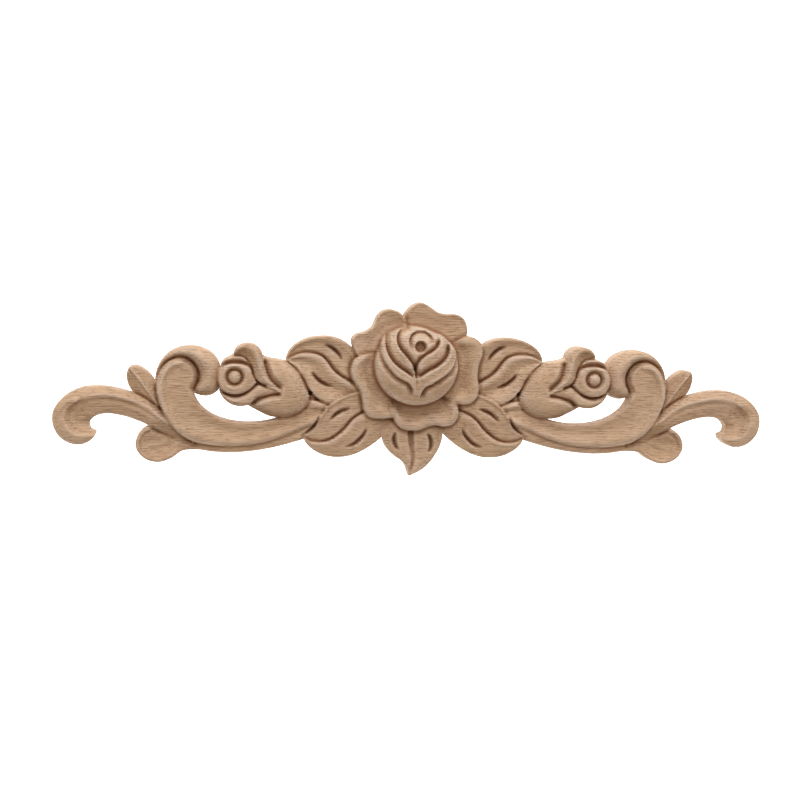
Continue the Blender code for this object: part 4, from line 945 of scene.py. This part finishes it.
def node(tree, kind, settings, links):
    """Adds a node: settings and links go by the name of an attribute or input, or an input's number."""
    made = tree.nodes.new("ShaderNode" + kind)
    for key, value in settings.items():
        if isinstance(key, int) or key in made.inputs:
            made.inputs[key].default_value = value
        else:
            setattr(made, key, value)
    for key, source in links.items():
        tree.links.new(source, made.inputs[key])
    return made


def bare_rubberwood(name, sawn):
    """The wood; the sawn back gets no painted shade in cuts and no painted highlight on edges."""
    material = bpy.data.materials.new(name)
    material.use_nodes = True
    tree = material.node_tree
    shader = tree.nodes["Principled BSDF"]
    place = node(tree, "TexCoord", {}, {}).outputs["Object"]

    pattern = {}
    for kind, (length, width, detail, rough, shift, noise_range, values) in GRAIN.items():
        size = (1 / (length * MM), 1 / (width * MM), 1 / (width * MM))
        drawn_out = node(tree, "Mapping", {"Scale": size, "Location": (shift, shift, shift)},
                         {"Vector": place})
        noise = node(tree, "TexNoise", {"Scale": 1.0, "Detail": detail, "Roughness": rough},
                     {"Vector": drawn_out.outputs[0]})
        ranged = node(tree, "MapRange", {"From Min": noise_range[0], "From Max": noise_range[1],
                                                   "To Min": values[0], "To Max": values[1]},
                      {"Value": noise.outputs["Fac"]})
        pattern[kind] = ranged.outputs[0]

    normal = node(tree, "NewGeometry", {}, {}).outputs["Normal"]
    facing = node(tree, "SeparateXYZ", {}, {"Vector": normal})
    frontal = node(tree, "Math", {"operation": "ABSOLUTE"}, {0: facing.outputs["Y"]})
    steep = node(tree, "MapRange", {"From Min": FLAT_FACE, "From Max": STEEP_FACE, "To Min": 0.25},
                 {"Value": frontal.outputs[0]})
    waves = node(tree, "TexWave",
                 {"bands_direction": "Z", "Scale": WAVE_TURN / (PASS_GAP * MM), "Distortion": 3.0,
                  "Detail": 2.0, "Detail Scale": 0.4}, {"Vector": place})
    dips = node(tree, "MapRange", {"From Min": 0.5, "From Max": 0.0},
                {"Value": waves.outputs["Fac"]})
    passes = dips.outputs[0]
    for share in (pattern["left by sanding"], steep.outputs[0]):
        passes = node(tree, "Math", {"operation": "MULTIPLY"}, {0: passes, 1: share}).outputs[0]

    layers = [(pattern["fibres"], 0.54, FIBRE_BROWN), (pattern["patches"], 0.4, PATCH_PINK),
              (pattern["pores"], 0.45, PORE_BROWN), (passes, 0.32, PASS_BROWN)]
    # Only the carved face gets the painted shade in its cuts and the painted highlight on its edges.
    if not sawn:
        depth = node(tree, "Attribute", {"attribute_name": "painted_light_depth"}, {}).outputs["Fac"]
        painted_shade = node(tree, "MapRange", {"From Min": SHADE_FROM, "From Max": SHADE_TO}, {"Value": depth})
        painted_highlight = node(tree, "MapRange", {"From Min": HIGHLIGHT_FROM, "From Max": HIGHLIGHT_TO}, {"Value": depth})
        layers += [(painted_shade.outputs[0], 0.68, PAINTED_SHADE_BROWN), (painted_highlight.outputs[0], 0.32, PAINTED_HIGHLIGHT_PALE)]
    colour = node(tree, "Mix", {"data_type": "RGBA", 6: linear(PALE_BAND), 7: linear(TAN_BAND)},
                  {0: pattern["bands"]}).outputs[2]
    for cover, strength, tint in layers:
        share = node(tree, "Math", {"operation": "MULTIPLY", 1: strength}, {0: cover})
        colour = node(tree, "Mix", {"data_type": "RGBA", 7: linear(tint)},
                      {0: share.outputs[0], 6: colour}).outputs[2]
    tree.links.new(colour, shader.inputs["Base Color"])
    tree.links.new(pattern["roughness"], shader.inputs["Roughness"])
    shader.inputs["IOR"].default_value = 1.5
    shader.inputs["Specular IOR Level"].default_value = 0.5

    height = node(tree, "Math", {"operation": "MULTIPLY", 1: FIBRE_HEIGHT}, {0: pattern["fibres"]})
    for amount, rise in ((pattern["pores"], PORE_HEIGHT), (passes, PASS_HEIGHT)):
        height = node(tree, "Math", {"operation": "MULTIPLY_ADD", 1: rise},
                      {0: amount, 2: height.outputs[0]})
    bump = node(tree, "Bump", {"Strength": 1.0, "Distance": MM}, {"Height": height.outputs[0]})
    tree.links.new(bump.outputs[0], shader.inputs["Normal"])
    return material


applique_mesh.materials.append(bare_rubberwood("sanded_rubberwood", sawn=False))
applique_mesh.materials.append(bare_rubberwood("planed_rubberwood_back", sawn=True))
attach(applique, "root")
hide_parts("carved_applique")

# The studio: a white paper sweep, a floor that bends up behind, well away from the piece, which
# hangs in front of it and throws no shadow on it.
PAPER_WHITE = "#FAFAFA"
SWEEP_BACK = 1.1
SWEEP_FLOOR = -0.45
SWEEP_FRONT = 0.0
SWEEP_HALF_WIDTH = 2.0
SWEEP_TOP = 1.6
BEND = 0.5
BEND_STEPS = 12
profile = [(SWEEP_FRONT, SWEEP_FLOOR)]
for step in range(BEND_STEPS + 1):
    turn = math.radians(90 * step / BEND_STEPS)
    profile.append((SWEEP_BACK - BEND + BEND * math.sin(turn), SWEEP_FLOOR + BEND - BEND * math.cos(turn)))
profile.append((SWEEP_BACK, SWEEP_TOP))
sweep_mesh = bpy.data.meshes.new("paper_sweep")
corners = [(side * SWEEP_HALF_WIDTH, y, z) for y, z in profile for side in (-1, 1)]
strips = [(2 * i, 2 * i + 1, 2 * i + 3, 2 * i + 2) for i in range(len(profile) - 1)]
sweep_mesh.from_pydata(corners, [], strips)
sweep_mesh.shade_smooth()
sweep = bpy.data.objects.new("paper_sweep", sweep_mesh)
bpy.context.scene.collection.objects.link(sweep)
paper = bpy.data.materials.new("white_paper")
paper.use_nodes = True
paper_shader = paper.node_tree.nodes["Principled BSDF"]
paper_shader.inputs["Base Color"].default_value = linear(PAPER_WHITE)
paper_shader.inputs["Roughness"].default_value = 0.9
paper_shader.inputs["Emission Color"].default_value = linear("#FFFFFF")
paper_shader.inputs["Emission Strength"].default_value = 1.0
sweep_mesh.materials.append(paper)

# The light of the studio: one large softbox above and in front of the piece, a little bluish, and
# the glow of the white room, a little warm, which is bright above and weak below.
SOFTBOX_PLACE = (0.0, -0.6, 1.0)
SOFTBOX_WIDTH, SOFTBOX_DEPTH = 1.6, 0.8
SOFTBOX_WATTS = 9.0
SOFTBOX_TINT, ROOM_TINT = "#E8F0FF", "#FFF7EE"
GLOW_BELOW, GLOW_ABOVE = 0.17, 1.18
softbox_light = bpy.data.lights.new("softbox_above", "AREA")
softbox_light.shape = "RECTANGLE"
softbox_light.size = SOFTBOX_WIDTH
softbox_light.size_y = SOFTBOX_DEPTH
softbox_light.energy = SOFTBOX_WATTS
softbox_light.color = linear(SOFTBOX_TINT)[:3]
softbox = bpy.data.objects.new("softbox_above", softbox_light)
softbox.location = SOFTBOX_PLACE
softbox.rotation_euler = (-Vector(SOFTBOX_PLACE)).to_track_quat("-Z", "Y").to_euler()
bpy.context.scene.collection.objects.link(softbox)
room = bpy.data.worlds.new("white_room")
room.use_nodes = True
background = room.node_tree.nodes["Background"]
sky = node(room.node_tree, "TexCoord", {}, {}).outputs["Generated"]
way = node(room.node_tree, "SeparateXYZ", {}, {"Vector": sky})
glow = node(room.node_tree, "MapRange",
            {"From Min": -1.0, "To Min": GLOW_BELOW, "To Max": GLOW_ABOVE}, {"Value": way.outputs["Z"]})
room.node_tree.links.new(glow.outputs[0], background.inputs["Strength"])
background.inputs["Color"].default_value = linear(ROOM_TINT)
bpy.context.scene.world = room
bpy.context.scene.view_settings.view_transform = "Standard"

# The camera: a long lens about 0.7 m away, a little left of the middle and above it, and turned
# by a degree, as the photograph was taken.
DISTANCE = 0.70
AZIMUTH = math.radians(6.6)
ELEVATION = math.radians(5.0)
TURNED = math.radians(1.0)
MM_PER_PIXEL = 0.4216
IMAGE_WIDTH = 800
ORIGIN_PIXEL = (415.0, 389.75)
MIDDLE_HEIGHT = 6         # of the carving, above its back
SENSOR_WIDTH = 36.0
aim = Vector(((IMAGE_WIDTH / 2 - ORIGIN_PIXEL[0]) * MM_PER_PIXEL * MM, -MIDDLE_HEIGHT * MM,
              (ORIGIN_PIXEL[1] - IMAGE_WIDTH / 2) * MM_PER_PIXEL * MM))
towards = Vector((math.sin(AZIMUTH) * math.cos(ELEVATION), math.cos(AZIMUTH) * math.cos(ELEVATION),
                  -math.sin(ELEVATION)))
camera_data = bpy.data.cameras.new("camera")
camera_data.sensor_width = SENSOR_WIDTH
camera_data.lens = SENSOR_WIDTH * DISTANCE / (IMAGE_WIDTH * MM_PER_PIXEL * MM)
camera = bpy.data.objects.new("camera", camera_data)
turn = towards.to_track_quat("-Z", "Y").to_matrix() @ Matrix.Rotation(TURNED, 3, "Z")
camera.matrix_world = Matrix.Translation(aim - towards * DISTANCE) @ turn.to_4x4()
bpy.context.scene.collection.objects.link(camera)
bpy.context.scene.camera = camera
